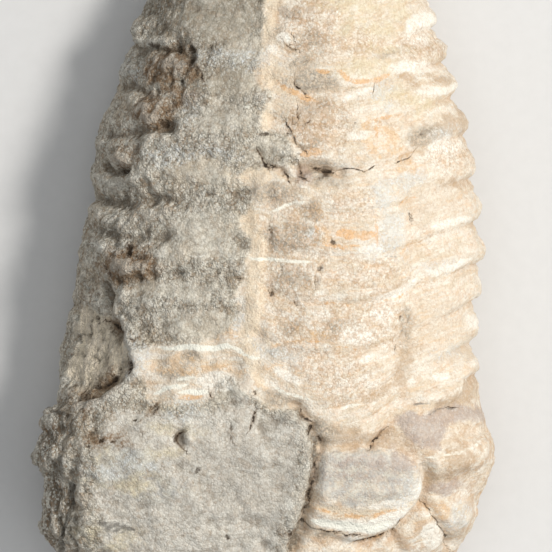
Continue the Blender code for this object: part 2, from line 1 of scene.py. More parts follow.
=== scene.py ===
"""Looks of the trilobite fossil: one stone, cream shell on the bare flank, grey rock over the rest.

Lengths in the tables are millimetres in the part's own frame: -Y is the head end, +Y the tail,
+X the bare flank, +Z up. The mesh is scaled to metres when it is made.
The stone is a ball laid onto the same dome as the solid, with finer relief, and every stain, vein,
crack and patch is stored on its points as a distance, which the material turns into crisp edges.
"""

import bmesh
import bpy
import numpy as np
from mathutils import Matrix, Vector

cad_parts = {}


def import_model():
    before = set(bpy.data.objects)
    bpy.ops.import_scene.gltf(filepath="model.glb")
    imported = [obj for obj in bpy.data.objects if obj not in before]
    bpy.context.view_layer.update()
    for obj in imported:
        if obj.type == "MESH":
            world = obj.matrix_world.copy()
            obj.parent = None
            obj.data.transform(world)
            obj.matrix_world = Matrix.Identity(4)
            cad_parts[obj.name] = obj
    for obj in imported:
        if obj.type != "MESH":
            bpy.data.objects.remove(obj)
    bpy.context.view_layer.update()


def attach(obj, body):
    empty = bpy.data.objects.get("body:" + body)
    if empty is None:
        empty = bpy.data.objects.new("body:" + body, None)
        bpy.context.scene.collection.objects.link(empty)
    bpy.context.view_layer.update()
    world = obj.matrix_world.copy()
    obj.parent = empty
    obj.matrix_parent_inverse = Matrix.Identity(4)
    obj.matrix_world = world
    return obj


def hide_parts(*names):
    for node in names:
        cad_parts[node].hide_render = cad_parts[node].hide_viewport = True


METRES = 0.001
NODE = "trilobite"

# ---- size and general form, as in the solid ----
HALF_LENGTH = 34.9
MARGIN_HEIGHT = 5.6         # of the widest line over the base
UNDER_DEPTH = 7.2           # of the rounded underside below that line, before the base is cut flat
UNDER_POWER = 1.8           # its section; 2 is an ellipse
UNDER_SWELL = (1.15, 0.55)  # how fast the underside deepens from the two ends: factor and power
ROWS = 350
TOP_COLUMNS = 242           # with those below, a number that four divides, for the ball's even angles
UNDER_COLUMNS = 34
SECTION_SAMPLES = 400
LENGTH_SAMPLES = 2000       # fine points along the body, before the rows are evened
WIDENING_WEIGHT = 0.5       # how much the widening of the body counts in the spacing of the rows
TINY = 1e-9                 # lengths below this count as nothing

# Outline seen from above, (x, y), tail tip to the front of the head.
RIGHT_OUTLINE = [
    (3.1, 34.9), (8.2, 33.2), (10.6, 30.4), (12.4, 27.2), (13.4, 24.1), (14.3, 21.4), (15.0, 18.9),
    (15.8, 16.0), (16.8, 12.4), (17.8, 9.4), (18.4, 5.4), (18.9, 1.6), (19.0, -2.2), (18.7, -5.6),
    (18.4, -9.1), (18.6, -10.5), (18.9, -12.5), (19.3, -14.6), (19.6, -16.7), (20.0, -17.7),
    (20.4, -18.6), (20.6, -20.2), (20.2, -21.2), (19.6, -22.5), (19.2, -23.2), (19.0, -25.1),
    (18.5, -25.9), (17.8, -27.2), (17.2, -28.2), (16.1, -29.9), (14.3, -31.7), (11.3, -33.4),
    (6.5, -34.6), (0.0, -34.9),
]
LEFT_OUTLINE = [
    (3.1, 34.9), (-2.0, 33.2), (-5.0, 30.4), (-7.4, 27.2), (-9.0, 24.1), (-10.3, 21.4), (-11.2, 19.8),
    (-11.8, 18.7), (-11.9, 17.6), (-12.2, 16.7), (-12.8, 15.1), (-13.4, 12.8), (-13.9, 11.5),
    (-14.5, 10.4), (-15.1, 9.2), (-15.4, 7.9), (-15.4, 6.5), (-15.6, 5.7), (-15.2, 4.3), (-15.2, 3.4),
    (-15.8, 2.0), (-16.2, 1.2), (-16.4, 0.2), (-16.7, -1.1), (-16.9, -2.9), (-17.0, -4.7),
    (-17.1, -6.1), (-17.6, -7.4), (-18.0, -8.5), (-18.2, -10.1), (-18.3, -11.5), (-18.5, -13.3),
    (-18.6, -15.0), (-19.5, -15.8), (-19.9, -16.6), (-19.8, -17.5), (-20.3, -18.4), (-20.6, -19.6),
    (-20.3, -20.5), (-19.9, -21.2), (-19.5, -22.0), (-19.4, -23.6), (-19.5, -25.0), (-19.8, -25.9),
    (-19.6, -26.8), (-19.0, -27.7), (-18.3, -28.4), (-16.7, -30.1), (-14.0, -32.1), (-9.5, -33.8),
    (-5.0, -34.6), (0.0, -34.9),
]
# Along the body, (y, value): height of the crest above the base, the crest's x, and how boxy each
# flank's cross-section is (2 is an ellipse, more is squarer).
CREST_HEIGHT = [
    (34.9, 5.6), (33.6, 8.8), (30.4, 11.8), (26.5, 14.0), (21.4, 15.9), (14.0, 17.6), (6.0, 18.7),
    (-3.0, 19.2), (-11.0, 19.2), (-19.0, 18.3), (-24.5, 16.6), (-28.3, 14.3), (-31.0, 12.0),
    (-33.2, 9.2), (-34.9, 5.6),
]
CREST_X = [(34.9, 3.1), (20.0, 2.8), (0.0, 3.4), (-12.0, 3.0), (-24.0, 1.2), (-34.9, 0.0)]
RIGHT_POWER = [(34.9, 2.0), (-12.0, 2.0), (-20.0, 2.15), (-34.9, 2.1)]
LEFT_POWER = [(34.9, 2.0), (20.0, 2.2), (-9.0, 2.3), (-13.0, 2.8), (-16.5, 3.7), (-19.5, 4.2), (-28.0, 4.2),
              (-34.9, 2.2)]

# ---- the animal ----
# Along the body, (y, value): x of its middle line and half the width of its raised axis.
MIDDLE_X = [(34.9, 3.1), (26.6, 4.9), (21.4, 5.3), (13.3, 5.5), (7.0, 6.2), (-1.1, 6.6), (-5.6, 6.2),
            (-10.1, 5.4), (-14.6, 5.0), (-20.0, 4.8), (-34.9, 2.0)]
AXIS_HALF_WIDTH = [(34.9, 1.0), (31.0, 2.6), (26.6, 4.0), (21.4, 5.0), (13.3, 5.7), (7.0, 6.6), (-1.1, 7.3),
                   (-5.6, 7.2), (-10.1, 6.8), (-14.6, 6.5), (-18.0, 6.1), (-34.9, 6.0)]
# Edges of the rings on the middle line, from behind the head to the tail.
RING_EDGES = [-19.2, -17.1, -15.1, -10.3, -5.9, -1.7, 2.2, 6.1, 9.6, 12.9, 16.1, 19.0, 21.8, 24.3, 26.6,
              28.5, 30.1, 31.5, 32.7, 33.7]
# How far each ring edge has swept towards the tail, (y of the edge, sweep).
SWEEP_AT_RIGHT_FURROW = [(-17.0, 2.7), (-15.0, 2.8), (-10.0, 1.6), (-2.0, 1.4), (6.0, 1.3), (20.0, 1.0),
                         (34.0, 0.4)]
SWEEP_AT_RIGHT_MARGIN = [(-17.0, 4.9), (-15.0, 5.8), (-10.0, 4.7), (-6.0, 3.7), (-2.0, 3.2), (6.0, 3.3),
                         (20.0, 2.7), (34.0, 1.6)]
SWEEP_AT_LEFT_FURROW = [(-16.0, 2.3), (20.0, 1.4), (34.0, 0.5)]
LEFT_SWEEP_BACK = 0.25      # share of the left sweep that is lost again towards the margin
LEAST_FLANK = 0.5           # a flank counts as at least this wide where the outline closes in
SWEEP_SOLVE_STEPS = 4
RING_RELIEF = 0.36          # height of a ring over its furrow
RIB_RELIEF = (0.16, 1.05)   # height of a rib beside the axis and at the margin
RIB_RISE = 2.6              # power with which a rib rises towards the margin
BURIED_RELIEF = 0.22        # the same under the rock of the left flank
RING_PEAK_POWER = 0.55      # under 1 puts the peak of a ring near its front edge
RING_BLUNTNESS = 0.75       # under 1 makes a ring's back flatter
SUNK_SHARES = (0.6, 0.35, 0.5)    # share of a ring, a rib and a buried ring that lies under the dome
BURIED_FROM = (0.8, 1.3)    # the rock takes over here, left of the middle in half widths of the axis
FULL_PITCH = 3.2            # rings closer together than this are lower
LEAST_SMALL_RING = 0.25     # height share of the smallest rings
RIB_FURROW = (0.66, 0.10, 0.16)   # groove along a rib: place across it, width, depth share
AXIAL_FURROW = (1.25, 0.55)       # width and depth beside the axis on the bare flank
AXIS_LOBE = (0.75, 0.30)          # swelling of the axis: half width in its own, height
LEFT_BAND = (0.62, 0.16)          # the narrow raised strip along the axis's left edge
HEAD_FADE = (-19.6, -17.4)        # rings fade out over this stretch of y
FURROW_FADE = (-19.0, -17.5)      # and the furrow beside them over this one


def ramp(value, low, high):
    """0 below low, 1 above high, smooth between."""
    t = np.clip((value - low) / (high - low), 0.0, 1.0)
    return t * t * (3.0 - 2.0 * t)


def body_angle(y):
    """The angle that turns evenly from one rounded end of the body to the other."""
    return np.arcsin(np.clip(np.asarray(y, float) / HALF_LENGTH, -1.0, 1.0))


def along_body(pairs, y):
    """Interpolate (y, value) pairs, evenly in the body angle so that the ends come out round."""
    places = body_angle([pair[0] for pair in pairs])
    values = np.array([pair[1] for pair in pairs], float)
    order = np.argsort(places)
    return np.interp(body_angle(y), places[order], values[order])


def by_y(points):
    """(x, y) points as (y, x) pairs."""
    return [(y, x) for x, y in points]


# ---------------------------------------------------------------- smooth dome
def row_places():
    """y of each row of points, evenly spaced along the crest."""
    fine = HALF_LENGTH * np.sin(np.linspace(0.5 * np.pi, -0.5 * np.pi, LENGTH_SAMPLES))
    height = along_body(CREST_HEIGHT, fine)
    half_width = 0.5 * (along_body(by_y(RIGHT_OUTLINE), fine) - along_body(by_y(LEFT_OUTLINE), fine))
    widening = WIDENING_WEIGHT * np.diff(half_width)
    step = np.sqrt(np.diff(fine) ** 2 + np.diff(height) ** 2 + widening ** 2)
    length = np.concatenate([[0.0], np.cumsum(step)])
    return np.interp(np.linspace(0.0, length[-1], ROWS + 1), length, fine)


def evenly_along(x, z, count):
    """count points spaced evenly along the curve (x, z), both ends kept."""
    step = np.hypot(np.diff(x), np.diff(z))
    length = np.concatenate([[0.0], np.cumsum(step)])
    if length[-1] < TINY:
        return np.full(count, x[0]), np.full(count, z[0])
    wanted = np.linspace(0.0, length[-1], count)
    return np.interp(wanted, length, x), np.interp(wanted, length, z)


def quarter(power, count):
    """A quarter of a rounded square of the given power: from (1, 0) to (0, 1)."""
    angle = np.linspace(0.0, 0.5 * np.pi, count)
    return np.cos(angle) ** (2.0 / power), np.sin(angle) ** (2.0 / power)


def section(y):
    """One closed cross-section at y: right margin, over the back, left margin, under and back."""
    right = along_body(by_y(RIGHT_OUTLINE), y)
    left = along_body(by_y(LEFT_OUTLINE), y)
    crest = along_body(CREST_X, y)
    rise = along_body(CREST_HEIGHT, y) - MARGIN_HEIGHT
    rx, rz = quarter(along_body(RIGHT_POWER, y), SECTION_SAMPLES)
    lx, lz = quarter(along_body(LEFT_POWER, y), SECTION_SAMPLES)
    over_x = np.concatenate([crest + (right - crest) * rx, (crest + (left - crest) * lx)[::-1]])
    over_z = MARGIN_HEIGHT + rise * np.concatenate([rz, lz[::-1]])
    top = evenly_along(over_x, over_z, TOP_COLUMNS + 1)
    centre = 0.5 * (right + left)
    half = 0.5 * (right - left)
    share = rise / (max(v for _, v in CREST_HEIGHT) - MARGIN_HEIGHT)
    depth = UNDER_DEPTH * min(1.0, UNDER_SWELL[0] * share ** UNDER_SWELL[1])
    ux, uz = quarter(UNDER_POWER, SECTION_SAMPLES)
    under_x = np.concatenate([centre - half * ux, (centre + half * ux)[::-1]])
    under_z = MARGIN_HEIGHT - depth * np.concatenate([uz, uz[::-1]])
    low = evenly_along(under_x, under_z, UNDER_COLUMNS + 1)
    x = np.concatenate([top[0][:-1], low[0][:-1]])
    z = np.concatenate([top[1][:-1], low[1][:-1]])
    return np.stack([x, np.full(x.shape, float(y)), z], axis=-1)


def dome_points():
    """Points of the smooth dome, [row, column, xyz]."""
    return np.stack([section(y) for y in row_places()])


def dome_normals(points):
    """Outward unit normals of the dome at its points."""
    along = np.gradient(points, axis=0)
    across = np.roll(points, -1, axis=1) - np.roll(points, 1, axis=1)
    normal = np.cross(across, along)
    size = np.linalg.norm(normal, axis=-1, keepdims=True)
    normal = normal / np.maximum(size, TINY)
    normal[0] = (0.0, 1.0, 0.0)
    normal[-1] = (0.0, -1.0, 0.0)
    return normal


# ---------------------------------------------------------------- rings and ribs
def sweep(x, y_edge, y):
    """How far the ring edge that crosses the middle at y_edge has swept towards the tail at x."""
    middle = along_body(MIDDLE_X, y)
    half = along_body(AXIS_HALF_WIDTH, y)
    right = along_body(by_y(RIGHT_OUTLINE), y)
    left = along_body(by_y(LEFT_OUTLINE), y)
    side = (x - middle) / half
    past_right = np.clip((x - middle - half) / np.maximum(right - middle - half, LEAST_FLANK), 0.0, 1.0)
    past_left = np.clip((middle - half - x) / np.maximum(middle - half - left, LEAST_FLANK), 0.0, 1.0)
    at_right = along_body(SWEEP_AT_RIGHT_FURROW, y_edge)
    at_margin = along_body(SWEEP_AT_RIGHT_MARGIN, y_edge)
    at_left = along_body(SWEEP_AT_LEFT_FURROW, y_edge)
    on_right = at_right * np.minimum(side, 1.0) ** 2 + (at_margin - at_right) * past_right
    on_left = at_left * (np.minimum(-side, 1.0) ** 2 - LEFT_SWEEP_BACK * past_left)
    return np.where(side > 0.0, on_right, on_left)


def ring_phase(x, y):
    """Ring number and place across the ring, 0 at its front edge to 1 at its rear edge."""
    edges = np.array(RING_EDGES)
    on_middle = y.copy()
    for _ in range(SWEEP_SOLVE_STEPS):
        on_middle = y - sweep(x, on_middle, y)
    number = np.clip(np.searchsorted(edges, on_middle) - 1, 0, len(edges) - 2)
    phase = (on_middle - edges[number]) / (edges[number + 1] - edges[number])
    return number, np.clip(phase, 0.0, 1.0), on_middle


def ring_profile(phase):
    """Rounded ridge that stands tallest near its front edge."""
    return np.sin(np.pi * phase ** RING_PEAK_POWER) ** RING_BLUNTNESS


def segment_relief(x, y):
    """Height of rings and ribs over the dome."""
    number, phase, on_middle = ring_phase(x, y)
    middle = along_body(MIDDLE_X, y)
    half = along_body(AXIS_HALF_WIDTH, y)
    right = along_body(by_y(RIGHT_OUTLINE), y)
    side = (x - middle) / half
    past = np.clip((x - middle - half) / np.maximum(right - middle - half, LEAST_FLANK), 0.0, 1.0)
    ridge = ring_profile(phase)
    ring_sunk, rib_sunk, buried_sunk = SUNK_SHARES
    place, width, share = RIB_FURROW
    groove = share * np.exp(-((phase - place) / width) ** 2)
    rib_height = RIB_RELIEF[0] + (RIB_RELIEF[1] - RIB_RELIEF[0]) * past ** RIB_RISE
    rib = rib_height * (ridge - groove - rib_sunk)
    ring = RING_RELIEF * (ridge - ring_sunk)
    buried = BURIED_RELIEF * (np.sin(np.pi * phase) - buried_sunk)
    relief = np.where(side > 1.0, rib, ring)
    to_left = ramp(-side, *BURIED_FROM)
    relief = relief * (1.0 - to_left) + buried * to_left
    pitch = np.diff(RING_EDGES)[number]
    small = np.clip(pitch / FULL_PITCH, LEAST_SMALL_RING, 1.0)
    return relief * small * ramp(on_middle, *HEAD_FADE)


def furrow_relief(x, y):
    """The furrow beside the axis on the bare flank and the strip along its other edge."""
    middle = along_body(MIDDLE_X, y)
    half = along_body(AXIS_HALF_WIDTH, y)
    width, depth = AXIAL_FURROW
    furrow = -depth * np.exp(-((x - middle - half) / width) ** 2)
    width, height = AXIS_LOBE
    lobe = height * np.exp(-((x - middle) / (width * half)) ** 4)
    width, height = LEFT_BAND
    band = height * np.exp(-((x - middle + half) / width) ** 4)
    return (furrow + lobe + band) * ramp(y, *FURROW_FADE)


# ---------------------------------------------------------------- local forms
# Lines: (points, width, height). Negative heights are grooves, cracks and valleys.
LINES = [
    # behind and beside the head, bare side
    ([(12.6, -14.9), (14.3, -14.8), (15.4, -15.0)], 0.40, -0.35),
    ([(14.1, -19.6), (16.0, -19.4), (18.5, -18.8), (20.2, -18.2)], 0.90, 0.35),
    ([(10.7, -17.4), (9.9, -18.2), (9.2, -18.9)], 0.40, -0.50),
    ([(14.2, -20.6), (14.4, -22.0), (14.1, -23.6), (12.9, -25.2), (11.2, -26.6), (8.2, -27.4)], 0.50, -0.80),
    ([(14.2, -23.7), (15.6, -25.7), (16.6, -27.8)], 0.30, -0.30),
    ([(5.0, -18.8), (8.5, -18.3), (12.0, -18.9), (13.8, -19.7)], 0.60, -0.28),
    # edge of the rock over the middle of the head
    ([(2.5, -15.0), (4.1, -16.6), (3.9, -17.4), (4.8, -18.3), (4.5, -20.8), (4.1, -22.8), (3.4, -25.0),
      (3.2, -26.0), (2.4, -27.8)], 0.50, -0.70),
    # cracks in the rock over the back
    ([(-0.7, 7.8), (0.0, 6.4), (1.2, 6.0), (2.3, 4.8)], 0.45, -0.40),
    ([(3.2, 6.0), (4.4, 6.4), (6.5, 5.7)], 0.50, -0.85),
    # border and free cheek at the front of the head
    ([(17.0, -27.6), (15.2, -29.6), (12.4, -31.3), (8.8, -32.6), (4.4, -33.3)], 0.75, -0.55),
    ([(11.2, -26.6), (12.2, -28.6), (11.9, -30.8)], 0.55, -0.45),
    # ledges of the rock flank
    ([(-13.4, 13.6), (-11.8, 13.5), (-10.6, 13.0)], 0.45, -0.45),
    ([(-9.2, 16.7), (-7.8, 16.9), (-6.6, 15.8)], 0.50, -0.45),
    ([(-14.0, 9.2), (-12.6, 9.2), (-11.2, 9.5), (-8.6, 9.8)], 0.55, -0.65),
    ([(-14.4, 6.4), (-13.8, 5.7), (-12.6, 6.0)], 0.50, -0.90),
    ([(-14.8, 3.2), (-12.4, 2.9), (-9.0, 3.4)], 0.70, -0.55),
    ([(-15.8, 0.8), (-12.0, -0.1), (-9.6, 0.0)], 0.55, -0.40),
    ([(-14.6, -4.2), (-14.2, -6.0)], 0.45, -0.60),
]
# Ledges: (points, width of the slope, reach, height). The stone stands higher on the right-hand side
# of someone walking along the points, and sinks back over the reach.
LEDGES = [
    # rock over the head, its edge above the middle lobe and its edge above the flank
    ([(2.2, -14.6), (4.0, -16.5), (4.3, -18.4), (4.2, -20.8), (3.8, -22.8), (3.1, -25.2), (2.2, -27.8),
      (1.4, -31.0)], 0.45, 2.6, 0.50),
    ([(-16.7, -30.0), (-17.1, -27.0), (-16.5, -24.2), (-17.0, -21.5), (-16.6, -18.6)], 0.45, 2.6, 0.36),
    # rim of the scoop in the rock flank
    ([(-17.8, -15.2), (-14.9, -14.4), (-12.8, -12.9), (-11.9, -11.6), (-12.6, -9.2), (-13.8, -6.8)],
     0.45, 2.4, 0.55),
    # overhanging block near the tail
    ([(-8.0, 16.7), (-10.4, 16.8), (-12.2, 17.3)], 0.40, 1.8, 0.60),
    # last rib above the cheek, and the cheek above its border
    ([(19.6, -11.4), (18.3, -12.9), (17.3, -14.6), (15.9, -15.5), (14.3, -16.0), (12.8, -15.2)],
     1.10, 2.6, 0.60),
    ([(20.6, -20.3), (18.4, -21.1), (16.6, -21.8), (14.2, -22.0)], 1.30, 3.4, 0.54),
    # step across the flank
    ([(-6.5, -12.0), (-10.5, -11.0), (-12.0, -8.0)], 0.50, 1.4, 0.15),
]
# Lumps and hollows: (x, y, half length, half width, turn in degrees, height).
LUMPS = [
    (-8.5, 15.0, 2.2, 1.7, 10.0, 0.50),
    (-10.0, 11.0, 1.6, 1.5, 0.0, 0.55),
    (-12.8, 6.9, 0.9, 1.2, 0.0, 0.60),
    (-12.3, -2.7, 2.1, 1.0, 0.0, 0.70),
    (-12.4, 15.0, 0.9, 1.2, 0.0, 0.35),
    (-11.6, 18.9, 1.2, 0.9, 20.0, 0.50),
    (-14.6, -10.6, 2.3, 3.6, 0.0, -0.30),
    (-17.3, -7.6, 0.6, 1.5, 0.0, 0.45),
    (-8.9, -2.0, 3.5, 2.4, 0.0, 0.15),
    (-1.6, -13.4, 1.9, 1.3, 0.0, 0.45),
    (-7.5, -18.0, 0.9, 1.2, 0.0, -0.55),
    (-7.0, -17.8, 0.5, 0.7, 0.0, 0.60),
    (-19.9, -19.6, 1.2, 1.7, 0.0, 0.20),
    (-19.4, -16.4, 1.1, 1.0, 0.0, 0.20),
    (13.8, 7.4, 1.6, 1.1, 30.0, -0.30),
    (14.0, -17.2, 2.0, 1.9, 0.0, 0.45),
    (18.6, -16.4, 2.2, 1.0, 0.0, 0.50),
    (12.2, -9.9, 0.5, 0.9, 20.0, -0.25),
    (12.3, -7.2, 0.5, 0.9, 0.0, -0.20),
    (16.8, -24.6, 2.2, 2.4, 20.0, 0.45),
]
# Plates with an edge all round: (outline, softness of the edge, height).
PLATES = [
    # rock left over the head
    ([(2.6, -14.8), (4.0, -16.7), (4.5, -18.4), (4.2, -21.0), (3.9, -22.9), (3.2, -25.2), (2.4, -27.6),
      (1.5, -31.0), (-6.0, -33.5), (-15.0, -30.0), (-16.7, -27.0), (-16.8, -22.5), (-16.6, -18.4),
      (-14.9, -15.2), (-12.0, -14.0), (-8.5, -14.4), (-4.4, -14.1), (-3.6, -12.9), (-1.2, -12.6),
      (0.0, -14.3)], 1.80, 0.10),
    # the scoop in the rock flank
    ([(-12.2, -11.4), (-12.9, -9.2), (-14.0, -6.8), (-16.0, -6.2), (-17.2, -8.4), (-17.4, -12.0),
      (-17.0, -14.9), (-14.9, -14.2), (-13.0, -12.9)], 0.55, -0.60),
    # right lobe of the middle of the head and the two worn layers in front of it
    ([(4.6, -19.2), (7.1, -18.8), (9.8, -18.9), (11.6, -19.2), (12.9, -19.8), (13.5, -20.6),
      (13.5, -21.8), (12.7, -23.0), (11.3, -23.8), (9.3, -24.2), (7.1, -24.2), (5.3, -23.6),
      (4.3, -22.8), (4.4, -21.0)], 0.45, 0.34),
    ([(4.3, -19.0), (12.0, -19.3), (13.4, -20.2), (14.1, -21.4), (14.2, -22.7), (13.3, -24.0),
      (11.7, -25.0), (8.6, -25.5), (5.5, -25.0), (3.9, -24.3)], 0.28, 0.26),
    ([(3.6, -22.0), (14.0, -22.0), (13.2, -24.4), (11.9, -25.8), (10.0, -26.8), (8.0, -27.2),
      (5.6, -26.3), (3.5, -25.7)], 0.24, 0.36),
    # front lobe of the middle of the head
    ([(2.8, -27.8), (5.6, -27.3), (8.8, -28.0), (10.8, -29.0), (10.6, -30.9), (7.6, -32.0),
      (3.6, -32.6), (1.6, -32.4), (1.9, -30.4)], 0.45, 0.40),
]
LEDGE_FADE = (1.0, 0.4)     # a ledge fades out over this length at its ends, or this share of it
LUMP_EDGE = (0.25, 1.15)    # a lump falls away between these shares of its half sizes
ROUGH_SCALE = 0.40          # per millimetre
ROUGH_STEP = (2.03, 7.7, 0.55)    # finer by, shifted by and weaker by, from layer to layer
ROUGH_ROCK = 0.30           # height of the roughness on rock and on bare shell
ROUGH_SHELL = 0.12
ROCK_EDGE_X = (-1.0, 3.0)   # the rock gives way to the bare back over this stretch of x
TIP_FADE = 2.0              # relief fades in over this length from either end of the body
# Relief fades out where the dome leans over: upward part of its normal, none and full.
SEGMENT_LEAN = (-0.75, -0.15)
FURROW_LEAN = (0.0, 0.4)
LOCAL_LEAN = (-0.1, 0.45)
LATTICE_MIX = (374761393, 668265263, 1274126177, 974711)   # odd numbers that scatter the lattice
LATTICE_MASK = 0xFFFFFFFF
NOISE_TURN = np.array([[0.80, 0.36, -0.48], [-0.60, 0.48, -0.64], [0.0, 0.80, 0.60]])   # a rotation


def distance_to_line(x, y, line):
    """Distance of each point from a chain of straight pieces."""
    best = np.full(x.shape, 1.0e6)
    for (ax, ay), (bx, by) in zip(line[:-1], line[1:]):
        dx, dy = bx - ax, by - ay
        t = np.clip(((x - ax) * dx + (y - ay) * dy) / max(dx * dx + dy * dy, TINY), 0.0, 1.0)
        best = np.minimum(best, np.hypot(x - ax - t * dx, y - ay - t * dy))
    return best


def walk(x, y, line):
    """Signed distance from a chain of pieces, its right-hand side positive, and the place along it."""
    best = np.full(x.shape, 1.0e6)
    side = np.zeros(x.shape)
    place = np.zeros(x.shape)
    walked = 0.0
    for (ax, ay), (bx, by) in zip(line[:-1], line[1:]):
        dx, dy = bx - ax, by - ay
        length = max(np.hypot(dx, dy), 1e-6)
        t = np.clip(((x - ax) * dx + (y - ay) * dy) / length ** 2, 0.0, 1.0)
        gap = np.hypot(x - ax - t * dx, y - ay - t * dy)
        turn = np.sign((x - ax) * dy - (y - ay) * dx)
        closer = gap < best
        best = np.where(closer, gap, best)
        side = np.where(closer, turn * gap, side)
        place = np.where(closer, walked + t * length, place)
        walked += length
    return side, place, walked


def ledge_share(x, y, line, slope, reach):
    """1 just past the edge of a ledge, 0 before it and beyond its reach, fading at the line's ends."""
    side, place, length = walk(x, y, line)
    fade = min(LEDGE_FADE[0], LEDGE_FADE[1] * length)
    ends = ramp(place, 0.0, fade) * ramp(length - place, 0.0, fade)
    return ramp(side, 0.0, slope) * (1.0 - ramp(side, slope, reach)) * ends


def inside(x, y, outline):
    """True for the points inside a closed outline."""
    found = np.zeros(x.shape, bool)
    for (ax, ay), (bx, by) in zip(outline, outline[1:] + outline[:1]):
        if ay == by:
            continue
        crosses = (ay > y) != (by > y)
        found ^= crosses & (x < ax + (y - ay) * (bx - ax) / (by - ay))
    return found


def plate_share(x, y, outline, softness):
    """0 outside a plate, 1 on it, with a rounded edge of the given softness."""
    distance = distance_to_line(x, y, outline + outline[:1])
    signed = np.where(inside(x, y, outline), distance, -distance)
    return ramp(signed, -softness, softness)


def oval_radius(x, y, cx, cy, long, wide, turn=0.0):
    """Distance from the middle of an oval, 1 on its edge; turn is in degrees."""
    c, s = np.cos(np.radians(turn)), np.sin(np.radians(turn))
    u = ((x - cx) * c + (y - cy) * s) / long
    v = ((y - cy) * c - (x - cx) * s) / wide
    return np.hypot(u, v)


def local_relief(x, y):
    """Height of every listed line, ledge, lump and plate."""
    height = np.zeros(x.shape)
    for line, width, tall in LINES:
        height += tall * np.exp(-(distance_to_line(x, y, line) / width) ** 2)
    for line, slope, reach, tall in LEDGES:
        height += tall * ledge_share(x, y, line, slope, reach)
    for *oval, tall in LUMPS:
        height += tall * (1.0 - ramp(oval_radius(x, y, *oval), *LUMP_EDGE))
    for outline, softness, tall in PLATES:
        height += tall * plate_share(x, y, outline, softness)
    return height


def lattice(ix, iy, iz, seed):
    """A fixed value in -1..1 for each point of a lattice."""
    mixed = sum(value * odd for value, odd in zip((ix, iy, iz, seed), LATTICE_MIX)) & LATTICE_MASK
    mixed = ((mixed ^ (mixed >> 13)) * LATTICE_MIX[2]) & LATTICE_MASK
    return ((mixed ^ (mixed >> 16)) & 0xFFFF) / 32767.5 - 1.0


def soft_noise(points, seed):
    """Smooth noise in -1..1 with features about one unit across."""
    base = np.floor(points).astype(np.int64)
    part = points - base
    part = part * part * part * (part * (part * 6.0 - 15.0) + 10.0)
    total = np.zeros(points.shape[:-1])
    for corner in np.ndindex(2, 2, 2):
        share = np.ones(points.shape[:-1])
        for axis, far in enumerate(corner):
            share = share * (part[..., axis] if far else 1.0 - part[..., axis])
        total += share * lattice(*(base[..., axis] + corner[axis] for axis in range(3)), seed)
    return total


def roughness(points, scale, seed=1, layers=3):
    """Lumpiness in about -1..1 at each point, its largest lumps 1 / scale mm across."""
    finer, shift, weaker = ROUGH_STEP
    total = np.zeros(points.shape[:-1])
    strength = 1.0
    for layer in range(layers):
        turned = points @ NOISE_TURN.T * scale * finer ** layer + shift * layer
        total += strength * soft_noise(turned, seed + layer)
        strength *= weaker
    return total


def displaced(points, normals):
    """The dome's points moved along its normals by all the relief."""
    x, y = points[..., 0], points[..., 1]
    lean = normals[..., 2]
    tip = ramp(HALF_LENGTH - np.abs(y), 0.0, TIP_FADE)
    rock = 1.0 - ramp(x, *ROCK_EDGE_X)
    rough = (ROUGH_SHELL + (ROUGH_ROCK - ROUGH_SHELL) * rock) * roughness(points, ROUGH_SCALE)
    relief = segment_relief(x, y) * ramp(lean, *SEGMENT_LEAN)
    relief += furrow_relief(x, y) * ramp(lean, *FURROW_LEAN)
    relief += local_relief(x, y) * ramp(lean, *LOCAL_LEAN)
    return points + normals * ((relief + rough) * tip)[..., None]


# ---------------------------------------------------------------- stains, veins and cracks
# Where the grey rock ends and the bare shell begins, tail to head; rock lies on the -X side.
ROCK_EDGE = [
    (2.0, 36.0), (0.9, 32.0), (0.6, 27.5), (0.2, 24.0), (0.0, 21.4), (-0.1, 19.6), (-0.3, 17.8),
    (0.0, 16.9), (-0.4, 16.0), (-0.8, 14.8), (-0.8, 13.7), (-0.4, 13.2), (0.5, 12.9), (0.6, 12.0),
    (-0.1, 11.5), (-0.4, 9.9), (-0.3, 9.3), (1.2, 9.3), (1.9, 8.9), (2.3, 8.2), (2.4, 7.5), (2.9, 6.9),
    (2.8, 6.4), (0.9, 6.3), (-0.6, 6.1), (-2.0, 6.1), (-2.5, 5.5), (-2.3, 4.9), (-1.3, 4.4), (-1.2, 3.4),
    (-1.4, 2.4), (-2.3, 1.7), (-2.1, 0.6), (-1.3, 0.0), (-1.3, -1.2), (-1.8, -1.9), (-1.6, -3.0),
    (-2.3, -4.3), (-2.8, -5.2), (-2.4, -6.4), (-2.8, -7.5), (-3.6, -8.4), (-4.7, -9.0), (-6.8, -9.5),
    (-9.7, -9.6), (-11.3, -10.3), (-12.0, -11.2), (-11.5, -12.0), (-10.9, -13.0), (-10.5, -13.7),
    (-10.7, -14.6), (-8.6, -15.0), (-6.0, -14.8), (-4.7, -14.3), (-4.6, -13.1), (-3.6, -12.5),
    (-2.4, -12.9), (-1.6, -13.9), (-0.5, -14.5), (0.4, -15.3), (1.5, -15.2), (3.1, -15.4), (3.2, -15.9),
    (3.5, -16.4), (4.2, -16.6), (4.1, -17.3), (4.8, -18.2), (4.5, -18.9), (4.7, -19.6), (4.5, -20.2),
    (4.3, -21.4), (3.9, -23.2), (3.7, -24.1), (3.3, -24.7), (3.1, -25.9), (2.4, -28.3), (1.6, -31.0),
    (0.0, -33.5), (-1.0, -36.0),
]
FAR_LEFT = [(-30.0, -40.0), (-30.0, 40.0)]  # closes the rock's side, well outside the stone
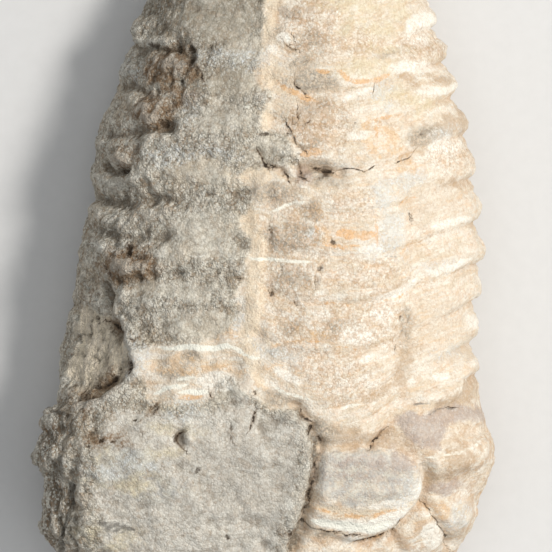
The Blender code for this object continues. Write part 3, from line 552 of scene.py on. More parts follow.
# Strokes of each stain: (points, half width), narrowing to both ends.
STROKES = {
    # thin white veins and worn edges
    "white": [
        ([(-9.7, -9.8), (-8.2, -10.0), (-5.9, -9.9), (-3.2, -9.7), (-2.0, -10.2)], 0.26),
        ([(-3.0, -9.8), (-1.6, -10.6), (-0.3, -10.9)], 0.16),
        ([(-10.2, -14.1), (-8.2, -13.4), (-6.8, -13.1)], 0.2),
        ([(-8.0, -13.8), (-6.6, -13.9), (-5.0, -13.9)], 0.22), ([(-8.1, -12.7), (-6.2, -12.5)], 0.16),
        ([(-16.5, -0.5), (-15.0, -0.8), (-13.2, -1.2)], 0.06), ([(-10.4, -1.6), (-8.6, -1.9)], 0.03),
        ([(-7.3, -1.6), (-5.2, -1.7)], 0.03), ([(-3.6, -1.9), (-2.3, -1.7)], 0.08),
        ([(-2.2, -1.6), (-1.0, -1.9), (0.4, -2.0), (2.2, -2.2), (4.2, -2.4)], 0.17),
        ([(0.1, 2.1), (1.3, 2.6), (2.9, 2.9), (4.2, 3.1)], 0.11),
        ([(-0.5, -13.0), (0.5, -13.2), (1.7, -13.9), (3.1, -14.2), (5.4, -15.0)], 0.11),
        ([(6.5, -15.2), (7.7, -15.1), (9.0, -14.9)], 0.13),
        ([(14.0, -19.7), (16.8, -19.3), (18.3, -18.6), (19.4, -18.0)], 0.07),
        ([(11.6, -26.5), (12.2, -25.8), (12.4, -25.2)], 0.08),
        # the white worn layer in front of the middle lobe, partly its own white and partly painted highlight
        # on a slope that turns from the light
        ([(3.9, -25.0), (5.6, -25.3), (7.6, -25.7), (9.4, -25.8), (11.2, -25.2)], 0.4),
    ],
    # paler lines along ribs, ledges and worn layers; on the ribs of the bare flank they are painted
    # highlight where a rib's edge catches the light
    "pale": [
        ([(13.4, 12.8), (15.2, 13.0), (17.0, 13.5)], 0.35), ([(14.6, 0.8), (16.5, 1.2), (18.3, 1.9)], 0.26),
        ([(14.2, -3.2), (16.5, -2.7), (18.5, -1.9)], 0.26),
        ([(-16.3, -0.6), (-14.9, -0.8), (-13.0, -1.3)], 0.3), ([(-7.3, -1.6), (-5.2, -1.7)], 0.08),
        ([(6.7, 12.1), (7.9, 12.6), (9.6, 13.2)], 0.3),
        ([(9.0, -5.9), (10.8, -5.3), (12.6, -4.7), (13.7, -3.8)], 0.42),
        ([(3.9, -25.0), (5.6, -25.3), (7.6, -25.6), (9.4, -25.6), (11.4, -24.9), (12.6, -23.9)], 0.62),
        ([(-3.2, -5.6), (-1.8, -5.8)], 0.26),
        ([(13.6, -19.9), (14.1, -20.6), (14.0, -21.9), (12.9, -22.7), (11.4, -23.6), (9.0, -24.0)], 0.48),
    ],
    # the cream strip beside the rock's edge and round the middle lobe of the head
    "band": [
        ([(1.3, 25.0), (0.6, 21.4), (0.3, 19.0), (-0.1, 17.0)], 0.6), ([(0.6, 15.5), (0.4, 13.3)], 0.8),
        ([(0.1, 12.0), (0.1, 10.6), (-0.2, 9.4)], 0.5),
        ([(-0.5, 13.0), (0.6, 12.9), (1.8, 13.2), (3.0, 12.6)], 0.2),
        ([(-2.4, 5.5), (-0.6, 5.6), (0.6, 5.2)], 0.75),
        ([(-1.2, 3.4), (-1.4, 1.2), (-0.5, -0.6), (-0.6, -2.8), (-0.8, -5.0), (-1.2, -7.4), (-1.5, -9.6),
          (-1.0, -12.0), (-0.2, -13.4)], 0.85),
        ([(4.4, -23.8), (7.2, -24.5), (9.6, -24.5), (11.8, -23.9), (13.4, -22.5), (14.0, -21.0)], 0.5),
    ],
    # ochre veins of the shell and the worn layers
    "veins": [
        ([(0.9, 13.8), (2.2, 13.0), (3.4, 12.4), (4.8, 12.0)], 0.24), ([(4.1, 14.7), (5.4, 14.5)], 0.2),
        ([(5.4, 14.9), (6.3, 14.6), (6.9, 14.1), (8.0, 13.8), (10.0, 14.1), (11.3, 14.7)], 0.22),
        ([(2.9, 7.3), (4.1, 7.6), (5.1, 7.4)], 0.3), ([(6.0, 0.4), (7.6, 0.2), (9.6, 0.2)], 0.46),
        ([(6.6, -0.9), (8.2, -0.9)], 0.14), ([(4.4, 1.2), (4.5, -0.6)], 0.18),
        ([(4.5, -0.7), (6.4, -0.9), (8.0, -1.4)], 0.14),
        ([(3.1, -5.6), (5.3, -5.9), (7.6, -6.1), (9.5, -6.0), (11.6, -5.4), (13.2, -4.7)], 0.08),
        ([(9.4, 10.2), (11.0, 10.8), (12.6, 10.9)], 0.12), ([(9.7, 11.0), (9.9, 8.6)], 0.12),
        ([(11.9, -1.6), (12.6, -0.9)], 0.12), ([(1.5, -9.1), (4.5, -9.2), (8.0, -10.0)], 0.08),
        ([(8.3, -27.2), (10.2, -26.9), (11.6, -26.1), (12.2, -25.0)], 0.32),
        ([(4.3, -23.9), (7.2, -24.7), (9.6, -24.8), (11.8, -24.1)], 0.14),
        ([(9.5, 1.7), (9.7, 0.4), (9.8, -1.0)], 0.1), ([(11.8, 2.7), (12.6, 3.3), (13.9, 3.6)], 0.1),
        ([(-8.0, -14.3), (-5.6, -14.3)], 0.2),
    ],
    # tan lines on the ribs and the cheek
    "tan": [
        ([(13.4, 8.0), (14.1, 8.9), (15.7, 9.4), (17.0, 9.8), (17.5, 10.8), (17.1, 11.9)], 0.8),
        # tan under the last rib, partly painted shade of its slope
        ([(19.4, -12.0), (18.5, -12.9), (17.6, -14.4), (16.2, -15.1)], 0.7),
        ([(8.4, -14.4), (10.2, -13.8), (11.6, -12.4), (12.4, -10.8)], 0.22),
        ([(14.2, -19.6), (15.6, -19.5), (17.6, -19.2)], 0.1),
        ([(9.0, -5.5), (11.8, -4.6), (13.9, -3.5)], 0.12),
    ],
    # grey scratches
    "grey": [
        ([(14.2, -15.9), (15.4, -15.4), (16.9, -15.1)], 0.09),
        ([(12.8, -15.0), (13.6, -14.9), (14.8, -14.7)], 0.07),
        ([(-15.7, -25.1), (-14.0, -25.5), (-12.6, -25.7), (-11.3, -26.2)], 0.13),
        ([(-14.9, -25.6), (-13.4, -25.9), (-11.6, -26.1)], 0.12), ([(-14.2, -26.1), (-12.4, -26.4)], 0.1),
        ([(3.1, -0.9), (6.7, -1.1), (8.9, -1.7), (12.1, -1.9)], 0.01),
        ([(-8.6, -26.4), (-5.6, -26.6)], 0.02),
    ],
}
# Oval patches of each stain: (x, y, half length, half width, turn in degrees if it has one).
PATCHES = {
    "white": [
        (-1.5, 11.7, 0.22, 0.12), (17.6, -22.7, 0.12, 0.12), (-2.8, 15.8, 0.3, 0.12, 20.0),
    ],
    "pale": [
        (13.0, -12.7, 0.35, 0.2), (13.7, 18.6, 1.1, 1.6), (8.0, -8.8, 1.6, 0.8), (1.7, 17.8, 0.6, 0.5),
        (0.7, 16.7, 0.5, 0.4), (10.3, -7.1, 1.1, 0.9), (9.0, -10.6, 0.7, 0.35, 20.0),
        (16.0, 8.2, 1.5, 0.7, 10.0), (8.1, 9.0, 1.0, 0.5), (2.0, -23.8, 0.35, 0.3), (14.9, -26.8, 1.0, 1.1),
        (-6.0, -16.2, 0.8, 0.3, 10.0), (18.3, -7.5, 0.8, 0.5), (15.2, -12.5, 1.0, 0.3),
        (4.8, -6.8, 1.0, 0.5, -20.0), (1.9, -12.2, 1.4, 0.4, -25.0), (4.6, -5.0, 0.5, 0.3),
        (13.2, 15.2, 2.0, 0.5), (9.2, -1.3, 1.2, 0.5), (-4.4, -12.9, 1.9, 0.9),
    ],
    "ochre": [
        (4.7, 0.0, 0.6, 0.9), (1.6, -9.0, 1.2, 0.35), (0.9, -11.7, 1.9, 0.45, -15.0),
        (-15.6, -21.5, 0.9, 0.4), (-13.3, -27.1, 1.1, 0.7, 20.0), (11.3, 12.3, 1.4, 0.8),
        (-0.2, 14.4, 0.6, 0.9), (9.2, 9.3, 0.6, 1.1), (4.6, 2.6, 0.5, 0.8), (10.8, 8.3, 1.3, 1.3),
        (-4.4, -12.0, 2.2, 0.7), (-7.4, -11.6, 2.2, 0.6), (-3.3, -8.6, 1.6, 0.6), (-0.7, -12.9, 0.6, 0.4),
        (-16.9, -18.0, 0.25, 0.4), (-5.2, -20.9, 0.4, 0.15), (3.6, -8.8, 1.6, 0.7),
        (12.6, 6.6, 0.8, 0.6, 30.0), (-0.9, 1.2, 0.5, 1.6), (-8.2, -15.4, 1.8, 0.6),
        (15.2, -24.4, 1.2, 0.8),
    ],
    # yellow-cream coats over the rock above the head and on the ribs near the tail
    "cream": [
        (-12.2, -21.8, 2.0, 0.7), (-14.6, -19.2, 0.9, 0.5, 20.0), (-9.6, -19.4, 1.6, 0.5, -8.0),
        (-15.2, -21.6, 1.0, 0.5), (-13.4, -27.2, 1.4, 0.6, 15.0), (-9.0, -17.0, 1.8, 0.4, -6.0),
        (-7.4, -15.2, 1.6, 0.4), (-16.0, -26.4, 0.9, 0.7), (8.9, 14.9, 2.8, 0.75, 2.0),
        (7.4, 20.8, 2.6, 0.7), (9.8, 19.0, 2.0, 0.9), (6.9, 18.9, 0.9, 0.9), (12.0, 20.4, 1.0, 0.7),
        (10.6, 16.8, 2.0, 0.6), (11.2, 12.7, 1.4, 1.0), (13.6, 11.8, 1.6, 0.8),
    ],
    # thin grey crust left on the bare shell
    "film": [
        (4.0, 17.3, 1.6, 1.0), (3.3, 15.3, 1.4, 0.8), (4.6, 13.6, 1.9, 1.1), (4.6, 11.2, 1.2, 0.6),
        (3.9, 8.2, 1.0, 0.5), (4.5, 6.0, 1.7, 0.8, -10.0), (2.2, 0.0, 2.5, 1.4), (2.3, -3.9, 1.7, 1.0),
        (2.7, -7.9, 1.3, 0.7), (0.8, 4.0, 1.7, 0.9), (7.7, -5.6, 0.45, 0.2), (0.6, 18.1, 0.5, 0.6),
        (-8.0, -12.2, 1.6, 0.7), (-6.6, -10.9, 1.0, 0.6), (1.0, -14.2, 1.8, 0.6, -15.0),
        (5.2, -17.6, 1.4, 0.9), (1.0, -10.1, 1.4, 0.6, -10.0), (14.2, 9.1, 1.5, 0.8, 25.0),
        (4.0, 2.6, 0.9, 1.1), (6.3, -8.0, 1.2, 0.8), (12.5, -8.0, 0.5, 1.5), (2.4, 20.0, 1.1, 0.9),
        (5.0, 5.4, 1.9, 0.7, -8.0), (4.4, -26.2, 0.9, 0.3, -8.0), (11.4, 16.4, 1.3, 0.4, 20.0),
    ],
    # crumbled brown areas of the rock
    "brown": [
        (-8.4, 15.2, 2.3, 1.8, 10.0), (-10.0, 11.0, 1.6, 1.5), (-12.8, -2.9, 1.7, 1.7),
        (-10.8, -2.4, 1.6, 1.2), (-12.7, 7.4, 0.7, 1.0), (-8.0, 12.6, 1.2, 0.7), (-14.2, -17.8, 1.6, 0.5),
        (-10.2, -15.4, 0.6, 0.4, 20.0), (2.0, -26.4, 0.3, 0.5), (-15.2, -13.7, 2.6, 1.1, 32.0),
        (-13.4, -8.2, 1.2, 0.6, -40.0), (-16.4, -15.0, 1.6, 0.7, 20.0),
    ],
    "tan": [
        # on the cheek, below the last rib and in the valley above its border, the tan is partly painted
        # shade
        (9.5, -18.0, 5.0, 0.9, -4.0), (15.9, -21.4, 2.2, 0.8, 8.0), (16.6, -19.9, 1.4, 0.8, 30.0),
        (16.9, -14.5, 2.1, 0.8, 28.0), (18.1, -13.2, 0.7, 1.6, -22.0), (16.4, -21.1, 2.7, 0.6, 4.0),
        (16.6, -21.3, 2.4, 0.4, 4.0), (4.3, 10.4, 1.9, 1.9), (16.9, 4.8, 1.6, 0.35, 8.0),
        (10.3, -13.6, 1.6, 0.5, 35.0), (5.2, -8.9, 1.9, 0.6), (3.8, 2.6, 0.9, 1.0),
        (14.0, 17.0, 1.6, 0.5, -10.0), (15.6, 14.0, 1.1, 0.5, -20.0), (12.4, -11.2, 0.8, 2.1, -15.0),
        (8.5, 16.5, 2.5, 0.3, 6.0), (1.0, 20.0, 0.5, 1.6), (4.6, 20.5, 1.3, 0.7),
        (12.6, 14.2, 1.2, 0.5, -40.0), (2.6, 9.9, 0.4, 1.6),
    ],
    # cool grey specks and patches
    "blue": [
        (0.6, -10.1, 1.5, 0.55, -10.0), (1.9, -10.7, 0.9, 0.5, -40.0), (10.6, 13.4, 1.1, 0.9, 20.0),
        (10.6, 3.4, 1.2, 1.7, 20.0), (11.2, 0.6, 1.3, 1.6, -20.0), (10.2, -1.1, 1.7, 0.7, 10.0),
        (12.5, 4.9, 1.6, 0.9, 15.0), (-3.2, 15.9, 2.4, 0.6), (3.8, 0.3, 0.45, 0.5),
        (11.0, -25.4, 0.55, 0.25, 20.0), (-8.9, 7.2, 1.8, 0.8), (-4.6, 7.6, 1.8, 0.5),
        (-7.0, 11.4, 0.6, 0.8), (-12.1, 15.1, 0.8, 0.9), (17.2, -24.9, 0.9, 1.3, -30.0),
        (7.4, -27.2, 0.9, 0.5), (12.6, -22.3, 0.8, 1.8, -35.0), (-11.6, -11.0, 1.0, 1.4, 20.0),
        (11.0, 11.6, 0.8, 0.7), (15.6, -2.6, 0.8, 0.3, 10.0), (-2.6, -7.7, 0.4, 0.9),
        (-6.7, -15.0, 1.4, 0.7), (15.8, 8.9, 0.8, 0.5), (16.2, -10.2, 1.2, 0.4, 20.0),
        (-12.6, -19.6, 1.8, 0.7, 12.0), (-14.6, -20.8, 1.2, 0.7), (-10.4, -20.6, 1.4, 0.6, -10.0),
        (-7.6, -15.9, 1.6, 0.6),
    ],
    # grey middle lobe of the head and grey stretches of the rock over it
    "slate": [
        (8.0, -21.2, 3.9, 2.3, -4.0), (11.2, -21.2, 2.2, 2.0), (-13.0, -20.4, 3.6, 2.0),
        (-9.6, -22.3, 3.2, 1.0),
    ],
    # cheek
    "mauve": [
        (14.3, -17.3, 2.1, 1.7), (16.8, -15.9, 3.2, 0.9, 2.0), (16.0, -22.3, 1.6, 0.4),
        (12.8, -16.6, 1.0, 1.2), (12.2, -19.6, 1.3, 0.6, -25.0), (6.8, -19.8, 1.2, 0.3),
        (9.4, -19.9, 2.2, 0.24, -8.0), (8.6, -20.9, 2.2, 0.14, -4.0), (3.2, 5.6, 0.6, 0.8),
    ],
    # rock smoothed by thin coats and even parts of the shell
    "smooth": [
        (-2.8, 13.7, 2.8, 1.6), (-3.7, 10.8, 3.2, 1.4), (-5.9, 5.9, 3.4, 1.2), (-5.4, 0.6, 4.0, 1.5),
        (-5.0, 1.8, 3.0, 0.9), (-5.5, -1.3, 4.2, 1.2), (-8.0, -4.6, 4.6, 1.0), (0.0, 8.1, 2.4, 1.1),
        (-3.2, -13.6, 1.5, 1.2), (-4.0, 19.5, 4.0, 2.4), (-2.2, 17.0, 2.6, 1.6),
        (-5.6, -8.0, 4.4, 1.6, -6.0), (16.2, -18.2, 3.4, 1.5), (15.0, -8.0, 2.2, 3.0),
        (14.8, 3.4, 2.4, 2.2), (-6.0, -22.0, 9.0, 6.0),
    ],
    # painted shade: darker stretches of rock
    "dull": [
        (-5.6, 22.4, 6.0, 5.6), (-5.2, 14.6, 3.6, 2.4), (-3.2, -21.2, 5.6, 3.4),
    ],
    # speckled parts of the shell
    "grainy": [
        (4.8, 9.6, 3.2, 2.6), (2.4, -2.9, 2.9, 7.2), (8.5, -7.8, 4.2, 2.2), (3.9, 18.8, 2.6, 3.0),
        (13.8, 17.0, 1.8, 1.6), (8.4, 17.4, 2.4, 1.0), (7.6, 2.9, 2.2, 1.6), (16.5, 7.4, 2.0, 1.4),
        (6.0, -12.0, 4.0, 2.4, -20.0), (8.8, -3.4, 3.4, 1.6),
    ],
    "pits": [
        (-9.9, -15.5, 0.12, 0.3), (-11.8, -16.3, 0.26, 0.15, 20.0), (-11.2, -16.3, 0.14, 0.1),
        (-14.5, -18.0, 0.28, 0.16), (-13.5, -18.1, 0.34, 0.1, 35.0), (-15.7, -18.7, 0.14, 0.2),
        (-15.4, -14.4, 0.3, 0.12, -25.0), (-17.7, -14.4, 0.2, 0.12), (-15.3, -13.2, 0.22, 0.14, 30.0),
        (-13.8, -12.5, 0.22, 0.2), (-14.6, -12.9, 0.12, 0.1), (-13.2, -11.9, 0.1, 0.14),
        (-6.1, -20.7, 0.09, 0.16, -20.0), (-0.9, -13.8, 0.18, 0.2), (-3.1, -17.1, 0.16, 0.2),
        (-3.2, -16.7, 0.1, 0.14), (4.8, -18.0, 0.18, 0.3, 20.0), (3.2, -25.5, 0.24, 0.2, 30.0),
        (2.1, -26.3, 0.13, 0.4, 12.0), (-3.4, -26.5, 0.12, 0.24, -20.0), (11.9, -9.9, 0.16, 0.18),
        (12.2, -7.2, 0.12, 0.14), (5.9, -0.5, 0.14, 0.22, 30.0), (0.5, 0.7, 0.07, 0.42, 8.0),
        (0.2, -0.4, 0.06, 0.16), (4.7, -2.9, 0.26, 0.2, 40.0), (4.5, -3.8, 0.1, 0.2),
        (2.8, -2.7, 0.12, 0.1), (1.4, -2.7, 0.09, 0.18), (0.5, -4.9, 0.12, 0.24, 15.0),
        (2.8, -6.1, 0.1, 0.4, 40.0), (-2.2, -3.8, 0.12, 0.24), (-3.2, 2.3, 0.3, 0.1),
        (13.1, 1.8, 0.09, 0.24), (7.7, 10.2, 0.14, 0.08, -30.0), (3.7, 10.1, 0.26, 0.08, 20.0),
        (1.8, 9.1, 0.3, 0.12, -35.0), (0.0, 9.1, 0.2, 0.07), (14.0, 9.3, 0.1, 0.16, -40.0),
        (5.6, 5.9, 0.5, 0.16, -20.0), (5.0, 5.2, 0.5, 0.12, 20.0), (-7.9, 16.9, 0.22, 0.34, 20.0),
        (-6.6, 16.9, 0.22, 0.4), (-6.6, 15.7, 0.2, 0.46, -10.0), (-7.5, 13.8, 0.22, 0.26),
        (-9.2, 10.2, 0.26, 0.36, -20.0), (-12.8, 6.0, 0.5, 0.24, 10.0), (-10.0, 16.9, 0.4, 0.14),
        (-14.2, -5.4, 0.16, 0.5, -8.0), (-12.1, -1.2, 0.24, 0.62, 10.0), (-16.2, -7.9, 0.12, 0.16),
        (-15.5, -7.2, 0.1, 0.22, 30.0), (-8.0, -18.0, 0.2, 0.36), (-7.0, 14.6, 0.5, 0.14, 60.0),
    ],
}
# Cracks, narrower and deeper than the points of the mesh can show, their dark core painted shade: (points,
# half width).
CRACKS = [
    ([(-0.7, 7.7), (-0.3, 7.0), (0.1, 6.6)], 0.04), ([(0.1, 6.6), (0.2, 6.1)], 0.1),
    ([(0.5, 6.4), (1.3, 6.1)], 0.04), ([(1.4, 6.1), (1.7, 5.4)], 0.16), ([(1.7, 5.4), (2.2, 4.7)], 0.06),
    ([(2.9, 6.7), (3.0, 6.0), (3.1, 5.4), (3.7, 5.1)], 0.12),
    ([(4.4, 6.3), (5.0, 6.1), (5.5, 5.9), (6.2, 5.8)], 0.2),
    ([(6.2, 5.9), (7.2, 6.1), (8.7, 5.8), (9.6, 6.2)], 0.03),
    ([(1.9, 10.2), (2.3, 9.3), (2.6, 8.4), (3.0, 7.9)], 0.05), ([(3.0, 8.2), (3.4, 7.7)], 0.13),
    ([(2.8, 11.5), (2.8, 10.5)], 0.06), ([(2.6, 14.3), (2.6, 13.7), (3.0, 13.1), (3.6, 12.5)], 0.05),
    ([(1.6, 17.4), (2.1, 16.8), (2.6, 16.5)], 0.045), ([(2.5, 18.2), (2.6, 17.6)], 0.04),
    ([(3.1, -15.3), (3.2, -15.9), (3.9, -16.5)], 0.09), ([(4.1, -16.6), (3.9, -17.3)], 0.15),
    ([(4.4, -20.0), (4.3, -21.4), (3.9, -22.6), (3.8, -23.6)], 0.15), ([(3.6, -24.0), (3.3, -24.8)], 0.08),
    ([(-0.8, -15.6), (-1.1, -16.4), (-1.4, -17.2)], 0.07), ([(-5.1, -13.6), (-4.9, -14.1)], 0.07),
    ([(10.8, -17.2), (10.2, -17.8), (9.7, -18.4)], 0.11), ([(9.7, -18.6), (9.4, -18.8)], 0.08),
    ([(16.3, -15.2), (16.9, -15.1)], 0.025), ([(11.9, -25.0), (11.6, -25.9), (11.0, -26.6)], 0.12),
    ([(14.1, -23.7), (15.6, -25.8), (16.6, -28.0)], 0.028),
    ([(3.5, -25.5), (5.2, -25.9), (7.0, -26.3), (8.3, -26.3)], 0.05),
    ([(8.3, -27.3), (10.2, -27.1), (11.3, -26.4)], 0.07),
    ([(-14.5, -7.4), (-13.8, -7.6), (-13.2, -8.1), (-12.7, -9.0)], 0.14),
    ([(-11.9, -9.3), (-11.5, -9.4)], 0.08), ([(-12.4, -10.9), (-11.9, -11.7), (-12.1, -12.3)], 0.12),
    ([(-13.6, -12.4), (-14.4, -13.0), (-15.1, -13.4)], 0.1),
    ([(-7.2, -17.3), (-7.8, -17.4), (-8.1, -18.0), (-7.8, -18.6), (-7.2, -19.0)], 0.06),
    ([(-5.8, 15.0), (-5.3, 13.8)], 0.08), ([(12.0, 6.8), (12.5, 7.0), (13.3, 7.3), (13.6, 7.9)], 0.025),
    ([(9.8, 13.5), (9.6, 12.9)], 0.03), ([(4.6, -3.3), (4.4, -4.4)], 0.03),
    ([(-3.2, -17.7), (-2.9, -18.1)], 0.05),
]
FAR = 3.0  # distances stored on the points stop here
FINE_STAINS = ("white", "pale", "band", "veins", "grey", "pits")  # these keep close to their places
# Noise that pushes the shapes about before they are measured, (per millimetre, reach in mm), and its seed.
PATCH_SHAKE = ([(0.45, 0.50), (1.3, 0.26)], 30)
FINE_SHAKE = ([(0.5, 0.16), (1.6, 0.08)], 70)
CRACK_SHAKE = ([(0.6, 0.12), (2.0, 0.12)], 110)
SHAKE_LAYERS = 2
SHAKE_SEED_STEP = 10  # from one shake to the next
SHAKE_SEED_Y = 5  # from the push along x to the push along y
STROKE_FULLNESS = 5.0  # strokes and cracks narrow to their ends; above 4 they do so later
CRACK_FULLNESS = 4.0
CRACK_END = 0.35  # share of a crack's width that is left at its ends
CRACK_FAR = 9.0  # distances across a crack, in its half widths, stop here
CRACK_NEAR = (0.25, 0.50)  # mm from a crack's middle: fully its own, and no longer
HEAD_ROCK = 0  # which plate is the rock over the head
SCOOP = 1  # and which the hollow in the rock flank
PLATEAU_SHORT = 1.3  # the smooth rock over the head stops this far inside its plate
EDGE_DRIFT = 4.5  # how far the rock's edge wanders low on the head and the tail
DRIFT_NOISE = (0.22, 150)  # its scale per millimetre and seed
DRIFT_HEIGHT = (13.0, 8.0)  # the wandering grows from the first height down to the second


def narrowing(place, length, fullness):
    """1 along the middle of a stroke and 0 at its ends."""
    share = place / length
    return np.sqrt(np.clip(fullness * share * (1.0 - share), 0.0, 1.0))


def nearest_edge(x, y, strokes, patches):
    """How deep inside the nearest stroke or patch a point is, in mm; negative outside."""
    depth = np.full(x.shape, -FAR)
    for line, half_width in strokes:
        side, place, length = walk(x, y, line)
        taper = narrowing(place, length, STROKE_FULLNESS)
        depth = np.maximum(depth, half_width * taper - np.abs(side))
    for patch in patches:
        depth = np.maximum(depth, (1.0 - oval_radius(x, y, *patch)) * min(patch[2:4]))
    return depth


def signed_crack(x, y):
    """Signed distance across the nearest crack over its half width, and how near that crack is."""
    across = np.full(x.shape, FAR)
    best = np.full(x.shape, FAR)
    for line, half_width in CRACKS:
        side, place, length = walk(x, y, line)
        taper = CRACK_END + (1.0 - CRACK_END) * narrowing(place, length, CRACK_FULLNESS)
        closer = np.abs(side) < best
        best = np.where(closer, np.abs(side), best)
        across = np.where(closer, side / (half_width * taper), across)
    return np.clip(across, -CRACK_FAR, CRACK_FAR), 1.0 - ramp(best, *CRACK_NEAR)


def depth_inside(x, y, outline, edge):
    """Distance from the edge chain, positive inside the closed outline."""
    distance = np.minimum(distance_to_line(x, y, edge), FAR)
    return np.where(inside(x, y, outline), distance, -distance)


def plate_depth(x, y, which):
    """Distance from the edge of one of the plates, positive on the plate."""
    outline = PLATES[which][0]
    return depth_inside(x, y, outline, outline + outline[:1])


def seam_distance(x, y):
    """Signed distance along the body from the nearest ring edge, in mm, tail side positive."""
    number, phase, _ = ring_phase(x, y)
    length = np.diff(RING_EDGES)[number]
    behind = phase * length
    return np.where(phase < 0.5, behind, behind - length)


def shaken(points, shakes, seed):
    """x and y of the points after being pushed about by noise."""
    x, y = points[..., 0].copy(), points[..., 1].copy()
    for layer, (scale, reach) in enumerate(shakes):
        seed_x = seed + SHAKE_SEED_STEP * layer
        x += reach * roughness(points, scale, seed_x, SHAKE_LAYERS)
        y += reach * roughness(points, scale, seed_x + SHAKE_SEED_Y, SHAKE_LAYERS)
    return x, y


def stains(points):
    """Every stored distance by name."""
    broad = shaken(points, *PATCH_SHAKE)
    fine = shaken(points, *FINE_SHAKE)
    fields = {}
    for name in sorted({*STROKES, *PATCHES}):
        place = fine if name in FINE_STAINS else broad
        fields[name] = nearest_edge(*place, STROKES.get(name, []), PATCHES.get(name, []))
    fields["plateau"] = plate_depth(*broad, HEAD_ROCK) - PLATEAU_SHORT
    fields["scoop"] = plate_depth(*broad, SCOOP)
    fields["smooth"] = np.maximum(fields["plateau"], fields["smooth"])
    fields["swept"] = ring_phase(*fine)[2]
    fields["seam"] = seam_distance(*fine)
    fields["crack_across"], fields["crack_near"] = signed_crack(*shaken(points, *CRACK_SHAKE))
    high, low = DRIFT_HEIGHT
    drift = EDGE_DRIFT * ramp(-points[..., 2], -high, -low) * roughness(points, *DRIFT_NOISE)
    fields["rock"] = depth_inside(fine[0] + drift, fine[1], ROCK_EDGE + FAR_LEFT, ROCK_EDGE)
    return fields


# ---------------------------------------------------------------- the stone's mesh
GRAIN_LAYERS = [  # (per millimetre, height on rough rock, on smooth rock, on shell)
    (1.00, 0.16, 0.07, 0.05),
    (2.40, 0.10, 0.04, 0.035),
]
FACING = (-0.2, 0.3)  # upward part of the normal: below it is hidden rock, above it the real face
ROCK_SOFTNESS = 0.3  # the rock's roughness gives way over this, mm on both sides of its edge
SMOOTH_SOFTNESS = 0.5
STEEP_SIDE = (0.45, 0.80)  # leftward part of the normal: none and all of the steep wall beside the head
STEEP_FROM = (14.5, 16.5)  # the wall begins this far towards the head
WALL_STRETCH = (1.6, 0.28, 0.9)  # per millimetre, the noise that streaks the wall
WALL_SEED = 5
WALL_RELIEF = 0.42
# Noises as (per millimetre, seed, layers).
CRAG_NOISE = (0.55, 91, 3)  # creases between the lumps of broken rock
CRAG_WIDTH = 0.28  # in units of the noise
CRAG_DEPTH = 0.22
BROKEN_NOISE = (0.22, 57, 2)  # where the rock is broken into lumps
BROKEN_RANGE = (-0.1, 0.35)
CRUMBLE_NOISE = (1.9, 133, 2)  # the brown areas have crumbled
CRUMBLE_RELIEF = 0.15
CRUMBLE_SOFTNESS = 0.3
CRACK_DEPTH = 0.18
PIT_DEPTH = 0.35
PIT_WALL = (-0.12, 0.15)  # a pit deepens over this stretch of its edge
CRUST_STEP = 0.10  # the rock stands this much over the shell at its edge
CRUST_SOFTNESS = 0.12
FINE_TIP_FADE = 1.5  # fine relief fades in over this length from either end of the body
HOLLOW_REACH = 24  # rounds of averaging against which hollows and crests are told


def fine_relief(points, normals, fields):
    """Grain, cracks and small pits that the solid leaves out, in mm along the normals."""
    facing = ramp(normals[..., 2], *FACING)
    rock = np.maximum(ramp(fields["rock"], -ROCK_SOFTNESS, ROCK_SOFTNESS), 1.0 - facing)
    smooth = ramp(fields["smooth"], -SMOOTH_SOFTNESS, SMOOTH_SOFTNESS)
    total = np.zeros(points.shape[:-1])
    for scale, on_rough, on_smooth, on_shell in GRAIN_LAYERS:
        on_rock = on_rough + (on_smooth - on_rough) * smooth
        total += (on_shell + (on_rock - on_shell) * rock) * roughness(points, scale)
    total += WALL_RELIEF * fields["steep"] * roughness(points * np.array(WALL_STRETCH), 1.0, WALL_SEED)
    crease = 1.0 - ramp(np.abs(roughness(points, *CRAG_NOISE)), 0.0, CRAG_WIDTH)
    broken = ramp(roughness(points, *BROKEN_NOISE), *BROKEN_RANGE) * rock * (1.0 - smooth)
    total -= CRAG_DEPTH * crease * broken
    crumbled = ramp(fields["brown"], -CRUMBLE_SOFTNESS, CRUMBLE_SOFTNESS)
    total += CRUMBLE_RELIEF * crumbled * roughness(points, *CRUMBLE_NOISE)
    crack = np.exp(-fields["crack_across"] ** 2) * fields["crack_near"]
    total -= CRACK_DEPTH * crack * facing
    total -= PIT_DEPTH * ramp(fields["pits"], *PIT_WALL) * facing
    return total + CRUST_STEP * ramp(fields["rock"], -CRUST_SOFTNESS, CRUST_SOFTNESS) * facing


def smoothed(field, times):
    """The field after repeated averaging with its neighbours along and across the stone."""
    for _ in range(times):
        field = 0.5 * field + 0.25 * (np.roll(field, 1, axis=1) + np.roll(field, -1, axis=1))
        before = np.concatenate([field[:1], field[:-1]])
        after = np.concatenate([field[1:], field[-1:]])
        field = 0.5 * field + 0.25 * (before + after)
    return field


def stone_grid():
    """The stone's points in mm, [row, column, xyz], and the fields that are stored on them."""
    points = dome_points()
    normals = dome_normals(points)
    fields = stains(points)
    fields["steep"] = ramp(-normals[..., 0], *STEEP_SIDE) * ramp(-points[..., 1], *STEEP_FROM)
    tip = ramp(HALF_LENGTH - np.abs(points[..., 1]), 0.0, FINE_TIP_FADE)
    grid = displaced(points, normals) + normals * (fine_relief(points, normals, fields) * tip)[..., None]
    height = np.sum((grid - points) * normals, axis=-1)
    fields["hollow"] = smoothed(height, HOLLOW_REACH) - height
    grid[..., 2] = np.maximum(grid[..., 2], 0.0)
    return grid, fields


def new_mesh(name, make, **settings):
    """A mesh made by one of bmesh's own shapes."""
    bm = bmesh.new()
    make(bm, **settings)
    mesh = bpy.data.meshes.new(name)
    bm.to_mesh(mesh)
    bm.free()
    return mesh


